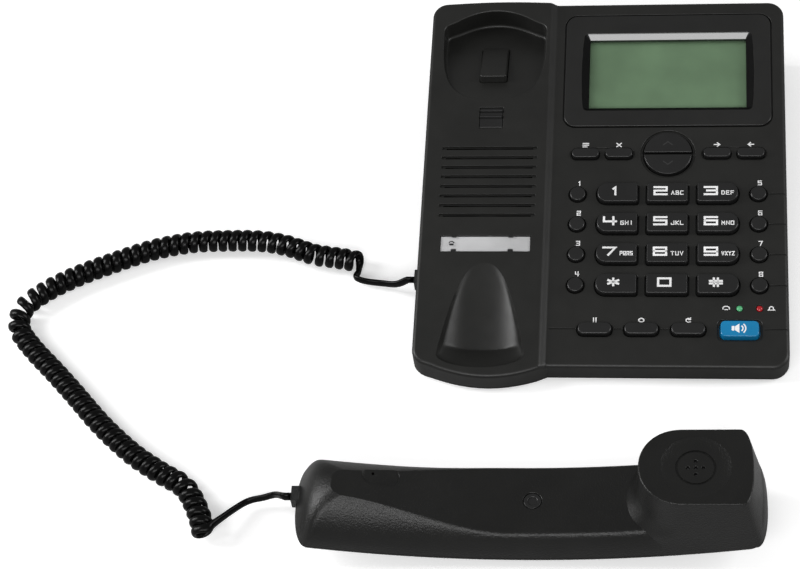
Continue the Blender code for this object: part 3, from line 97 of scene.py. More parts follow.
# Sizes and places that several sub-assemblies share
WEDGE_ANGLE = math.radians(10)
RAISE = 2.5 * MM
COLUMN_U = -56.95 * MM
KEY_GAP = 0.3 * MM
HOLE_GAP = 0.5 * MM
MIDDLE_COLUMN = 31.9 * MM
NAV_V = 13.5 * MM
PILL_V = -83.7 * MM
DISPLAY_U = 31.4 * MM
DISPLAY_V = 62.65 * MM
WINDOW_V = 61.75 * MM
TAB_V = 33.75 * MM
CARD_V = -38.12 * MM
BASE_PLACE = Matrix.Translation((23.3 * MM, 51.0 * MM, 0))
SLOPE_PLACE = BASE_PLACE @ Matrix.Translation((0, 0, 29.97 * MM)) @ Matrix.Rotation(WEDGE_ANGLE, 4, "X")
HOOK_PLACE = (Matrix.Translation((COLUMN_U, 67.6 * MM, -4.37 * MM))
              @ Matrix.Rotation(-math.atan2(15.5, 53), 4, "X"))
HANDSET_PLACE = Matrix.Translation((-6.2 * MM, -131.0 * MM, 0)) @ Matrix.Rotation(math.radians(1), 4, "Z")

Pair = tuple[float, float]
Triple = tuple[float, float, float]
Outline = list[Pair]
Shape = Callable[[float], Outline]
Rings = list[np.ndarray]
Piece = bpy.types.Object
Mesh = bmesh.types.BMesh
Socket = bpy.types.NodeSocket

FRAME: dict = {}


# Outlines and meshes

def arc(centre: Pair, radius: float, start: float, sweep: float, steps: int) -> Outline:
    """Returns points along an arc.

    Args:
        centre: the arc's middle.
        radius: its radius.
        start: the first angle, in degrees.
        sweep: the angle it turns through, in degrees.
        steps: how many stretches it has.
    """
    angles = np.radians(start + sweep * np.arange(steps + 1) / max(steps, 1))
    return [(centre[0] + radius * math.cos(a), centre[1] + radius * math.sin(a)) for a in angles]


def circle(radius: float, sides: int = 48, u: float = 0.0, v: float = 0.0) -> Outline:
    """Returns a circle's points."""
    return arc((u, v), radius, 0, 360 - 360 / sides, sides - 1)


def rounded_box(width: float, depth: float, left: float, right: float | None = None, u: float = 0.0,
                v: float = 0.0, steps: int = 6) -> Outline:
    """Returns a rectangle whose left and right corners have their own radii.

    Args:
        width: its size along u.
        depth: its size along v.
        left: the radius of its left corners.
        right: the radius of its right corners, or the left one's.
        u: its middle along u.
        v: its middle along v.
        steps: how many stretches each corner has.
    """
    right = left if right is None else right
    x, y = width / 2, depth / 2
    points = arc((u + x - right, v - y + right), right, -90, 90, steps)
    points += arc((u + x - right, v + y - right), right, 0, 90, steps)
    points += arc((u - x + left, v + y - left), left, 90, 90, steps)
    return points + arc((u - x + left, v - y + left), left, 180, 90, steps)


def inset(outline: Outline, amount: float) -> Outline:
    """Returns a closed outline with every point moved inward along its corner's bisector."""
    here = np.array(outline)
    before = here - np.roll(here, 1, axis=0)
    after = np.roll(here, -1, axis=0) - here
    before /= np.linalg.norm(before, axis=1)[:, None]
    after /= np.linalg.norm(after, axis=1)[:, None]
    normal = np.stack([-before[:, 1] - after[:, 1], before[:, 0] + after[:, 0]], axis=1)
    normal /= np.linalg.norm(normal, axis=1)[:, None]
    sharpest = 0.5
    spread = np.maximum(-normal[:, 0] * before[:, 1] + normal[:, 1] * before[:, 0], sharpest)
    return [tuple(p) for p in here + normal * (amount / spread)[:, None]]


def bar(width: float, depth: float, left: float, right: float | None = None, u: float = 0.0, v: float = 0.0,
        steps: int = 6) -> Shape:
    """Returns the shape of a rounded box, as a function of how much it is grown."""
    right = left if right is None else right
    return lambda grow: rounded_box(width + 2 * grow, depth + 2 * grow, max(left + grow, LEAST_RADIUS),
                                    max(right + grow, LEAST_RADIUS), u, v, steps)


def disc(radius: float, sides: int = 48, u: float = 0.0, v: float = 0.0) -> Shape:
    """Returns the shape of a disc, as a function of how much it is grown."""
    return lambda grow: circle(radius + grow, sides, u, v)


def half_disc(radius: float, offset: float, upper: bool) -> Shape:
    """Returns the shape of one half of a split disc, as a function of how much it is grown."""
    def shape(grow: float) -> Outline:
        start = math.degrees(math.asin((offset - grow) / (radius + grow)))
        first = start if upper else 180 + start
        return arc((0, 0), radius + grow, first, 180 - 2 * start, 36)
    return shape


def rounding(radius: float, steps: int, last: float = QUARTER) -> list[Pair]:
    """Returns a rounded edge's stages from wall to top: how far each has come in and lies below the top."""
    return [(radius * (1 - math.cos(turn)), radius * (1 - math.sin(turn)))
            for turn in np.linspace(0, last, steps + 1)]


def ring(outline: Outline, h: float) -> np.ndarray:
    """Returns an outline's points at one height."""
    flat = np.array(outline, float)
    return np.column_stack([flat, np.full(len(flat), h)])


def prism(outline: Outline, low: float, high: float) -> Rings:
    """Returns the two rings of a body with upright walls."""
    return [ring(outline, low), ring(outline, high)]


def mouth_rings(shape: Shape, top: float, bottom: float, rim: float, steps: int = 3) -> Rings:
    """Returns the rings of a cutter whose hole has a rounded rim.

    Args:
        shape: the hole's outline, grown by an amount.
        top: the height of the surface that it cuts.
        bottom: how deep it reaches.
        rim: the radius of the hole's rim.
        steps: how many stretches the rim has.
    """
    rings = [ring(shape(0.0), bottom)]
    rings += [ring(shape(out), top - down) for out, down in rounding(rim, steps, LAST_TURN)]
    return rings + [ring(shape(rim + OVERRUN / 2), top + OVERRUN)]


def cap_rings(shape: Shape, bottom: float, top: float, edge: float, draft: float = 0.0,
              steps: int = 4) -> Rings:
    """Returns the rings of a cap with a rounded top edge and walls that lean in by a draft."""
    return [ring(shape(0.0), bottom)] + [ring(shape(-draft - inward), top - down)
                                         for inward, down in rounding(edge, steps)]


def add_rings(mesh: Mesh, rings: Rings, closed: bool = False) -> None:
    """Adds one body to a mesh: rings of equal count joined in order.

    Args:
        mesh: the mesh that gets the body.
        rings: the body's rings.
        closed: joins the last ring to the first in place of capping both.
    """
    loops = [[mesh.verts.new(p) for p in r] for r in rings]
    pairs = list(zip(loops, loops[1:]))
    if closed:
        pairs.append((loops[-1], loops[0]))
    count = len(loops[0])
    for low, high in pairs:
        for i in range(count):
            mesh.faces.new((low[i], low[(i + 1) % count], high[(i + 1) % count], high[i]))
    if not closed:
        mesh.faces.new(loops[0][::-1])
        mesh.faces.new(loops[-1])


def new_object(name: str, mesh: Mesh) -> Piece:
    """Turns a bmesh into an object whose faces point outwards."""
    bmesh.ops.recalc_face_normals(mesh, faces=mesh.faces)
    data = bpy.data.meshes.new(name)
    mesh.to_mesh(data)
    mesh.free()
    made = bpy.data.objects.new(name, data)
    bpy.context.scene.collection.objects.link(made)
    return made


def solid(name: str, *bodies: Rings) -> Piece:
    """Makes an object from one or more bodies of rings."""
    mesh = bmesh.new()
    for rings in bodies:
        add_rings(mesh, rings)
    return new_object(name, mesh)


def remove(piece: Piece) -> None:
    """Removes an object and its mesh."""
    data = piece.data
    bpy.data.objects.remove(piece)
    bpy.data.meshes.remove(data)


def baked(piece: Piece) -> Piece:
    """Replaces a piece's mesh with what its modifiers make of it."""
    graph = bpy.context.evaluated_depsgraph_get()
    data = bpy.data.meshes.new_from_object(piece.evaluated_get(graph), depsgraph=graph)
    piece.modifiers.clear()
    old, piece.data = piece.data, data
    bpy.data.meshes.remove(old)
    return piece


def combine(piece: Piece, other: Piece, how: str = "DIFFERENCE") -> Piece:
    """Cuts or joins a piece with another object, which is then removed.

    Args:
        piece: the piece that is changed.
        other: what it is cut or joined with.
        how: the kind of Boolean operation.

    Returns:
        The piece, with the small openings that a cut can leave filled again. A warning is logged if
        it still isn't closed.
    """
    modifier = piece.modifiers.new(how.lower(), "BOOLEAN")
    modifier.operation = how
    modifier.object = other
    modifier.solver = "EXACT"
    bpy.context.view_layer.update()
    baked(piece)
    mesh = bmesh.new()
    mesh.from_mesh(piece.data)
    rims = [edge for edge in mesh.edges if len(edge.link_faces) == 1]
    if rims:
        bmesh.ops.holes_fill(mesh, edges=rims, sides=LARGEST_FILL)
        mesh.to_mesh(piece.data)
    torn = sum(1 for edge in mesh.edges if len(edge.link_faces) != 2)
    mesh.free()
    if torn:
        LOG.warning("%s: %d open edges after %s", piece.name, torn, other.name)
    remove(other)
    return piece


def joined(name: str, pieces: Sequence[Piece]) -> Piece:
    """Puts several meshes into one object."""
    mesh = bmesh.new()
    for piece in pieces:
        mesh.from_mesh(piece.data)
        remove(piece)
    return new_object(name, mesh)


def flat_first_normals(mesh: bpy.types.Mesh, limit: float) -> None:
    """Gives every corner a normal led by the largest plane that meets it, so flat faces stay flat.

    Args:
        mesh: the mesh, with smooth faces.
        limit: the angle past which two faces share no normal.
    """
    faces, loops = len(mesh.polygons), len(mesh.loops)
    normals, centres = np.empty(faces * 3), np.empty(faces * 3)
    areas, counts, verts = np.empty(faces), np.empty(faces, int), np.empty(loops, int)
    for what, values in (("normal", normals), ("center", centres), ("area", areas), ("loop_total", counts)):
        mesh.polygons.foreach_get(what, values)
    mesh.loops.foreach_get("vertex_index", verts)
    normals, centres = normals.reshape(-1, 3), centres.reshape(-1, 3)
    offsets = np.einsum("ij,ij->i", normals, centres)
    keys = np.column_stack([np.round(normals * SAME_SLANT), np.round(offsets / SAME_PLANE)]).astype(np.int64)
    _, group = np.unique(keys, axis=0, return_inverse=True)
    total = np.bincount(group.ravel(), weights=areas)[group.ravel()]
    face_of = np.repeat(np.arange(faces), counts)
    order = np.argsort(verts, kind="stable")
    sorted_verts = verts[order]
    firsts = np.flatnonzero(np.r_[True, sorted_verts[1:] != sorted_verts[:-1]])
    sizes = np.diff(np.r_[firsts, loops])
    block_start, block_size = np.repeat(firsts, sizes), np.repeat(sizes, sizes)
    mine = np.repeat(np.arange(loops), block_size)
    within = np.arange(len(mine)) - np.repeat(np.cumsum(block_size) - block_size, block_size)
    theirs = block_start[mine] + within
    face_a, face_b = face_of[order[mine]], face_of[order[theirs]]
    close = np.einsum("ij,ij->i", normals[face_a], normals[face_b]) > math.cos(limit)
    weight = np.where(close, total[face_b] ** PLANE_LEAD, 0.0)
    summed = np.zeros((loops, 3))
    for axis in range(3):
        summed[:, axis] = np.bincount(mine, weights=weight * normals[face_b, axis], minlength=loops)
    lengths = np.linalg.norm(summed, axis=1)
    summed[lengths == 0] = normals[face_of[order[lengths == 0]]]
    lengths[lengths == 0] = 1.0
    result = np.empty((loops, 3))
    result[order] = summed / lengths[:, None]
    mesh.normals_split_custom_set(result)


# Finishes

class Grain(Enum):
    """How coarse a moulded surface's texture is."""

    POLISHED = 0.0
    FINE = 0.06
    SATIN = 0.14
    LEATHERY = 1.0


class Nodes:
    """Builds one material's node tree."""

    NOISE_RANGE = (0.3, 0.7)

    def __init__(self, name: str) -> None:
        """Starts a material with its shader and Object coordinates."""
        self.material = bpy.data.materials.new(name)
        self.material.use_nodes = True
        self.tree = self.material.node_tree
        self.shader = self.tree.nodes["Principled BSDF"]
        self.place = self.add("ShaderNodeTexCoord").outputs["Object"]

    def add(self, kind: str, **settings: object) -> bpy.types.Node:
        """Adds a node and sets its properties."""
        node = self.tree.nodes.new(kind)
        for key, value in settings.items():
            setattr(node, key, value)
        return node

    @staticmethod
    def preset(node: bpy.types.Node, **values: object) -> None:
        """Sets a node's inputs, with an underscore for each space in a name."""
        for key, value in values.items():
            node.inputs[key.replace("_", " ")].default_value = value

    def link(self, source: Socket, target: Socket) -> None:
        """Joins two sockets."""
        self.tree.links.new(source, target)

    def noise(self, scale: float, detail: float = 2.0, roughness: float = 0.5) -> Socket:
        """Returns a noise's value, with its scale in turns a metre."""
        node = self.add("ShaderNodeTexNoise")
        self.preset(node, Scale=scale, Detail=detail, Roughness=roughness)
        self.link(self.place, node.inputs["Vector"])
        return node.outputs["Fac"]

    def spread(self, value: Socket, low: float, high: float) -> Socket:
        """Returns a value from 0 to 1 spread over a range."""
        node = self.add("ShaderNodeMapRange")
        self.preset(node, From_Min=self.NOISE_RANGE[0], From_Max=self.NOISE_RANGE[1], To_Min=low, To_Max=high)
        self.link(value, node.inputs["Value"])
        return node.outputs["Result"]

    def tinted(self, value: Socket, dark: Sequence[float], light: Sequence[float]) -> Socket:
        """Returns a colour between two, by a value from 0 to 1."""
        node = self.add("ShaderNodeMix", data_type="RGBA")
        self.preset(node, A=(*dark, 1.0), B=(*light, 1.0))
        self.link(value, node.inputs["Factor"])
        return node.outputs["Result"]

    def bump(self, height: Socket, strength: float, distance: float) -> None:
        """Raises the surface by a height."""
        node = self.add("ShaderNodeBump")
        self.preset(node, Strength=strength, Distance=distance)
        self.link(height, node.inputs["Height"])
        self.link(node.outputs["Normal"], self.shader.inputs["Normal"])


@dataclass(frozen=True)
class Plastic:
    """A moulded plastic with a fine texture and slight wear in its gloss."""

    name: str
    colour: Triple
    roughness: float
    grain: Grain = Grain.SATIN
    grain_scale: float = 2600.0
    specular: float = 0.5
    coat: float = 0.0
    wear: Pair = (0.86, 1.12)
    gloss_spread: Pair = (0.92, 1.08)
    grain_depth: float = 0.2 * MM
    marks: Pair = (45.0, 3.0)
    smears: Pair = (160.0, 4.0)

    def material(self) -> bpy.types.Material:
        """Returns the finish as a material."""
        nodes = Nodes(self.name)
        shader = nodes.shader
        nodes.preset(shader, Specular_IOR_Level=self.specular, Coat_Weight=self.coat)
        handled = nodes.spread(nodes.noise(*self.marks), 0.0, 1.0)
        darker, lighter = ([c * share for c in self.colour] for share in self.wear)
        nodes.link(nodes.tinted(handled, darker, lighter), shader.inputs["Base Color"])
        low, high = (self.roughness * share for share in self.gloss_spread)
        nodes.link(nodes.spread(nodes.noise(*self.smears), low, high), shader.inputs["Roughness"])
        if self.grain is not Grain.POLISHED:
            nodes.bump(nodes.noise(self.grain_scale, 3.0, 0.55), self.grain.value, self.grain_depth)
        return nodes.material


@dataclass(frozen=True)
class ClearPlastic:
    """A clear window or connector: light passes straight through, with a gloss on top."""

    name: str
    tint: Triple = (0.02, 0.022, 0.022)
    roughness: float = 0.03
    clearness: float = 0.9
    wear: float = 0.97
    gloss_spread: float = 1.5
    marks: float = 30.0
    smears: float = 120.0

    def material(self) -> bpy.types.Material:
        """Returns the finish as a material."""
        nodes = Nodes(self.name)
        shader = nodes.shader
        worn = [c * self.wear for c in self.tint]
        nodes.link(nodes.tinted(nodes.noise(self.marks), self.tint, worn), shader.inputs["Base Color"])
        gloss = nodes.spread(nodes.noise(self.smears), self.roughness, self.roughness * self.gloss_spread)
        nodes.link(gloss, shader.inputs["Roughness"])
        nodes.preset(shader, Alpha=1.0 - self.clearness)
        nodes.material.surface_render_method = "BLENDED"
        return nodes.material


Finish = Plastic | ClearPlastic


@dataclass(frozen=True)
class Finishes:
    """Every finish of the telephone."""

    housing: Plastic = Plastic("housing_black", (0.0125, 0.0125, 0.0115), 0.40, specular=0.40)
    frame: Plastic = Plastic("frame_black", (0.011, 0.011, 0.0105), 0.34, Grain.FINE)
    window_rim: Plastic = Plastic("window_rim_black", (0.006, 0.006, 0.007), 0.08, Grain.POLISHED,
                                  specular=0.8, coat=0.35)
    key: Plastic = Plastic("key_black", (0.0105, 0.0105, 0.0105), 0.34, Grain.FINE)
    handset: Plastic = Plastic("handset_black", (0.0085, 0.0085, 0.008), 0.31, Grain.LEATHERY, 1250.0, 0.36)
    cord: Plastic = Plastic("cord_black", (0.002, 0.002, 0.002), 0.24, Grain.FINE, specular=0.16)
    blue: Plastic = Plastic("speaker_blue", (0.006, 0.19, 0.40), 0.22, Grain.FINE)
    mark: Plastic = Plastic("mark_grey", (0.035, 0.035, 0.035), 0.3)
    # A near-black, dull copy of the frame's plastic for the window's lower and side walls: painted shade
    shaded_window_side: Plastic = Plastic("window_side_black", (0.002, 0.002, 0.002), 0.6, specular=0.1)
    print: Plastic = Plastic("printed_white", (0.86, 0.86, 0.86), 0.5, Grain.FINE)
    card: Plastic = Plastic("card_white", (0.96, 0.96, 0.97), 0.6, Grain.FINE, 1500.0)
    green_lamp: Plastic = Plastic("lamp_green", (0.10, 0.45, 0.20), 0.12, Grain.POLISHED)
    red_lamp: Plastic = Plastic("lamp_red", (0.42, 0.015, 0.02), 0.12, Grain.POLISHED)
    display: Plastic = Plastic("display_green", (0.230, 0.375, 0.215), 0.35, Grain.POLISHED)
    rubber: Plastic = Plastic("foot_rubber", (0.02, 0.02, 0.02), 0.8, Grain.LEATHERY)
    mat: Plastic = Plastic("mat_grey", (0.25, 0.25, 0.26), 0.7, Grain.FINE)
    board: Plastic = Plastic("board_green", (0.02, 0.12, 0.05), 0.5, Grain.FINE)
    steel: Plastic = Plastic("capsule_grey", (0.30, 0.30, 0.31), 0.4, Grain.FINE)
    clear: ClearPlastic = ClearPlastic("clear_window", clearness=0.85)
    connector: ClearPlastic = ClearPlastic("clear_connector", (0.012, 0.013, 0.013), 0.05, 0.1)


class Dresser:
    """Gives finished meshes their place, material and body."""

    def __init__(self, finishes: Finishes) -> None:
        """Keeps the finishes and the materials made from them."""
        self.finishes = finishes
        self.made: dict[str, bpy.types.Material] = {}

    def material(self, finish: Finish) -> bpy.types.Material:
        """Returns a finish's material, made once."""
        if finish.name not in self.made:
            self.made[finish.name] = finish.material()
        return self.made[finish.name]

    def repaint(self, node: str, finish: Finish) -> None:
        """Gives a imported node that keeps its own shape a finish."""
        for material_slot in FRAME["nodes"][node].material_slots:
            material_slot.material = self.material(finish)

    def dress(self, piece: Piece, finish: Finish, body: str, *replaced: str, slot: str = "black_plastic",
              place: Matrix = SLOPE_PLACE, weighted: bool = True) -> None:
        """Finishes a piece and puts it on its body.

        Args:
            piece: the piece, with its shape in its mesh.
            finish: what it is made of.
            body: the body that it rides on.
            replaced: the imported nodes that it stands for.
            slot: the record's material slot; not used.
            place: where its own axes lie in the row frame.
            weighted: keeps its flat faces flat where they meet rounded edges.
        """
        piece.data.transform(place)
        piece.data.materials.clear()
        piece.data.materials.append(self.material(finish))
        piece.data.polygons.foreach_set("material_index", [0] * len(piece.data.polygons))
        piece.data.shade_smooth()
        piece.data.set_sharp_from_angle(angle=SMOOTH_BELOW)
        if weighted:
            flat_first_normals(piece.data, SMOOTH_BELOW)
        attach(piece, body)
        if replaced:
            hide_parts(*replaced)
        LOG.info("%s: %d faces on %s", piece.name, len(piece.data.polygons), body)


# Repeated shapes

class Repeater:
    """Lays copies of one mesh at even steps with a Geometry Nodes tree."""

    INPUTS = {"Geometry": "Geometry", "Count": "Int", "Start": "Vector", "Step": "Vector"}

    def __init__(self, name: str) -> None:
        """Builds the tree: a line of points and copies on them, made real."""
        self.tree = bpy.data.node_groups.new(name, "GeometryNodeTree")
        for key, kind in self.INPUTS.items():
            self.tree.interface.new_socket(key, in_out="INPUT", socket_type="NodeSocket" + kind)
        self.tree.interface.new_socket("Geometry", in_out="OUTPUT", socket_type="NodeSocketGeometry")
        into, out, line, copies, real = (self.tree.nodes.new(kind) for kind in (
            "NodeGroupInput", "NodeGroupOutput", "GeometryNodeMeshLine", "GeometryNodeInstanceOnPoints",
            "GeometryNodeRealizeInstances"))
        for source, output, target, socket in (
                (into, "Count", line, "Count"), (into, "Start", line, "Start Location"),
                (into, "Step", line, "Offset"), (line, "Mesh", copies, "Points"),
                (into, "Geometry", copies, "Instance"), (copies, "Instances", real, "Geometry"),
                (real, "Geometry", out, "Geometry")):
            self.tree.links.new(source.outputs[output], target.inputs[socket])

    def spread(self, piece: Piece, count: int, start: Sequence[float], step: Sequence[float]) -> Piece:
        """Replaces a piece's mesh with a row of copies of it.

        Args:
            piece: the piece to repeat.
            count: how many copies there are.
            start: where the first one lies.
            step: how far each lies from the one before.

        Returns:
            The piece, as a plain mesh.
        """
        modifier = piece.modifiers.new("row", "NODES")
        modifier.node_group = self.tree
        sockets = {item.name: item.identifier for item in self.tree.interface.items_tree
                   if item.in_out == "INPUT"}
        for key, value in (("Count", count), ("Start", tuple(start)), ("Step", tuple(step))):
            modifier[sockets[key]] = value
        bpy.context.view_layer.update()
        return baked(piece)


# The housing's plan and its wells

@dataclass(frozen=True)
class Plan:
    """The base's plan on the slope, and its soft step between the cradle column and the key field."""

    left: float = -90 * MM
    right: float = 90 * MM
    front: float = -103.5 * MM
    back: float = 103.5 * MM
    corner: float = 8 * MM
    edge: float = 2 * MM
    bulge: float = 1 * MM
    lobe_left: float = -82 * MM
    lobe_width: float = 57.2 * MM
    lobe_reach: float = 6.82 * MM
    step_start: float = -29.3 * MM
    step_end: float = -24.8 * MM
    skirt: float = 3.5 * MM
    wall: float = 2.2 * MM
    top_wall: float = 2.5 * MM

    def outline(self) -> Outline:
        """Returns the plan: straight sides, a bulged back and the front lobe."""
        r = self.corner
        points = arc((self.right - r, self.front + r), r, -90, 90, 10)
        points += arc((self.right - r, self.back - r), r, 0, 90, 10)
        for share in np.linspace(0, 1, 21):
            u = self.step_end + (self.left + r - self.step_end) * share
            points.append((u, self.back + self.bulge * math.sin(math.pi * share)))
        points += arc((self.left + r, self.back - r), r, 90, 90, 10)[1:]
        points += arc((self.left + r, self.front + r), r, 180, 70, 8)
        for share in np.linspace(0, 1, 33)[1:]:
            u = self.lobe_left + self.lobe_width * share
            points.append((u, self.front - self.lobe_reach * math.sin(math.pi * share) ** 0.8))
        return points

    def raised(self, u: float) -> float:
        """Returns how far the top stands over the key field at u."""
        share = min(max((u - self.step_start) / (self.step_end - self.step_start), 0.0), 1.0)
        return RAISE * (0.5 + 0.5 * math.cos(math.pi * share))


def slope_in_base(u: float, v: float, h: float) -> Vector:
    """Returns a point of the slope in the base's upright axes."""
    return BASE_PLACE.inverted() @ SLOPE_PLACE @ Vector((u, v, h))


def stepped_body(plan: Plan, shrink: float, bottom: float, edges: Sequence[Pair], name: str) -> Piece:
    """Makes an upright body whose top follows the slope and the soft step.

    Args:
        plan: the base's plan.
        shrink: how far its walls lie inside the plan.
        bottom: the height of its underside.
        edges: each top ring as how far it is inset and its height on the slope.
        name: the object's name.

    Returns:
        The body, in the base's upright axes.
    """
    outline = inset(plan.outline(), shrink) if shrink else plan.outline()
    lowest = [slope_in_base(u, v, edges[0][1]) for u, v in outline]
    rings = [np.array([(p.x, p.y, bottom) for p in lowest])]
    for amount, h in edges:
        moved = inset(outline, amount) if amount else outline
        rings.append(np.array([slope_in_base(u, v, h) for u, v in moved]))
    mesh = bmesh.new()
    add_rings(mesh, rings)
    for cut in np.linspace(plan.step_start, plan.step_end, 9):
        geometry = mesh.verts[:] + mesh.edges[:] + mesh.faces[:]
        bmesh.ops.bisect_plane(mesh, geom=geometry, plane_co=(cut, 0, 0), plane_no=(1, 0, 0))
    lift = Vector((0, -math.sin(WEDGE_ANGLE), math.cos(WEDGE_ANGLE)))
    for vert in mesh.verts:
        if vert.co.z > bottom + 0.1 * MM:
            vert.co += lift * plan.raised(vert.co.x)
    small = [face for face in mesh.faces if len(face.verts) > 4 and face.calc_area() < 40 * MM * MM]
    bmesh.ops.triangulate(mesh, faces=small)
    return new_object(name, mesh)


@dataclass(frozen=True)
class Well:
    """A well sunk into the cradle column: its plan, its floor and the rounding of its rim and foot."""

    centre: Pair
    rim: float
    foot: float
    layers: int
    depth_share: float = field(default=0.4, init=False)

    def depth(self, u: float, v: float) -> float:
        """Returns how deep the floor lies at a place."""
        raise NotImplementedError

    def outline(self) -> Outline:
        """Returns the well's plan."""
        raise NotImplementedError

    def rings(self, grow: float = 0.0) -> Rings:
        """Returns the rings of the well's cutter, or of its bowl grown by a wall.

        Args:
            grow: how far the bowl's outside lies from the well.
        """
        edge = inset(self.outline(), -grow) if grow else self.outline()
        middle = np.array(self.centre)
        level = RAISE - grow
        rings = []
        floor_edge = inset(edge, self.foot) if self.foot else edge
        for share in np.linspace(0.02, 1.0, self.layers):
            flat = middle + (np.array(floor_edge) - middle) * share
            rings.append(np.array([(u, v, level - self.depth(u, v)) for u, v in flat]))
        deep = np.array([self.depth(u, v) for u, v in floor_edge])
        for lifted, inward in rounding(1.0, 3)[1:] if self.foot else ():
            flat = np.array(inset(edge, self.foot * inward))
            lift = np.minimum(self.foot, deep * self.depth_share) * lifted
            rings.append(np.column_stack([flat, level - deep + lift]))
        if grow:
            rings.append(np.column_stack([np.array(edge), np.full(len(edge), RAISE - 0.5 * MM)]))
            return rings
        for outward, down in rounding(1.0, 3, LAST_TURN):
            flat = np.array(inset(edge, -self.rim * outward) if outward else edge)
            drop = np.minimum(self.rim, deep * self.depth_share) * down
            rings.append(np.column_stack([flat, RAISE - drop]))
        last = np.array(inset(edge, -self.rim - OVERRUN / 2))
        rings.append(np.column_stack([last, np.full(len(last), RAISE + OVERRUN)]))
        return rings


@dataclass(frozen=True)
class EarWell(Well):
    """The well that holds the handset's ear cup: a bowed back wall and a floor that climbs to the front."""

    centre: Pair = (COLUMN_U, 74 * MM)
    rim: float = 0.7 * MM
    foot: float = 1.6 * MM
    layers: int = 8
    back: float = 98.1 * MM
    front: float = 45.1 * MM
    width: float = 52.5 * MM
    sink: float = 15.5 * MM
    bulge: float = 8 * MM
    corner: float = 4 * MM

    def depth(self, u: float, v: float) -> float:
        """Returns how deep the floor lies: a slant that starts softly."""
        soft = 5.0 * MM
        run = max(v - self.front, 0.0)
        return 0.12 * MM + self.sink / (self.back - self.front) * (math.hypot(run, soft) - soft)

    def outline(self) -> Outline:
        """Returns the plan: a bowed back, round corners and sides that close in towards the front."""
        half, r = self.width / 2, self.corner
        points = arc((COLUMN_U + half - r, self.back - self.bulge - r), r, 0, 68, 6)
        for share in np.linspace(0, 1, 22)[1:-1]:
            side = 1 - 2 * share
            points.append((COLUMN_U + (half - r) * side, self.back - self.bulge * side ** 2))
        points += arc((COLUMN_U - half + r, self.back - self.bulge - r), r, 112, 68, 6)
        widest = self.back - self.bulge - r - 6 * MM
        for turn in np.linspace(0, math.pi, 34):
            reach = (widest - self.front) * math.sin(turn) ** 0.75
            points.append((COLUMN_U - half * math.copysign(abs(math.cos(turn)) ** 0.62, math.cos(turn)),
                           widest - reach))
        return points


@dataclass(frozen=True)
class MouthWell(Well):
    """The scoop that holds the handset's mouth end, with its crease near the front lip."""

    centre: Pair = (COLUMN_U, -86 * MM)
    rim: float = 0.5 * MM
    foot: float = 0.0
    layers: int = 22
    apex: float = -49.02 * MM
    front: float = -105.12 * MM
    width: float = 42.4 * MM
    sink: float = 10.5 * MM
    crease: float = 14 * MM
    nose: float = 7 * MM
    spread_power: float = 0.42

    def half_width(self, v: float) -> float:
        """Returns half the scoop's width at v."""
        length = self.apex - self.front
        share = min(max((self.apex - v) / length, 0.0), 1.0)
        opened = min(share * length / (length - self.nose), 1.0) ** self.spread_power
        nose = max(share * length - (length - self.nose), 0.0) / self.nose
        return self.width / 2 * opened * math.sqrt(max(1 - nose ** 2, 0.0))

    def depth(self, u: float, v: float) -> float:
        """Returns how deep the scoop is: round across, falling to the crease and rising to the lip."""
        length = self.apex - self.front
        along = min(max(self.apex - v, 0.0), length)
        fall = along / (length - self.crease)
        rise = (length - along) / self.crease
        deep = self.sink * min(fall, rise, 1.0)
        half = max(self.half_width(v), 0.1 * MM)
        across = min(abs(u - COLUMN_U) / half, 1.0)
        return 0.05 * MM + deep * math.sqrt(max(1 - across ** 2, 0.0))

    def outline(self) -> Outline:
        """Returns the plan: a pointed arch that ends in a round nose."""
        half_length = (self.apex - self.front) / 2
        turns = np.linspace(0, math.pi, 56)[1:-1]
        stations = [self.front + half_length * (1 - math.cos(turn)) for turn in turns]
        side = [(COLUMN_U + self.half_width(v), v) for v in stations]
        mirrored = [(2 * COLUMN_U - u, v) for u, v in side]
        return [(COLUMN_U, self.front)] + side + [(COLUMN_U, self.apex)] + mirrored[::-1]


@dataclass(frozen=True)
class Key:
    """One key: its node's name, its outline grown by an amount, its height and its place on the slope."""

    name: str
    shape: Shape
    proud: float
    u: float
    v: float
    edge: float = 0.6 * MM
    draft: float = 0.25 * MM

    def placed(self, grow: float) -> Outline:
        """Returns the key's outline on the slope."""
        return [(x + self.u, y + self.v) for x, y in self.shape(grow)]


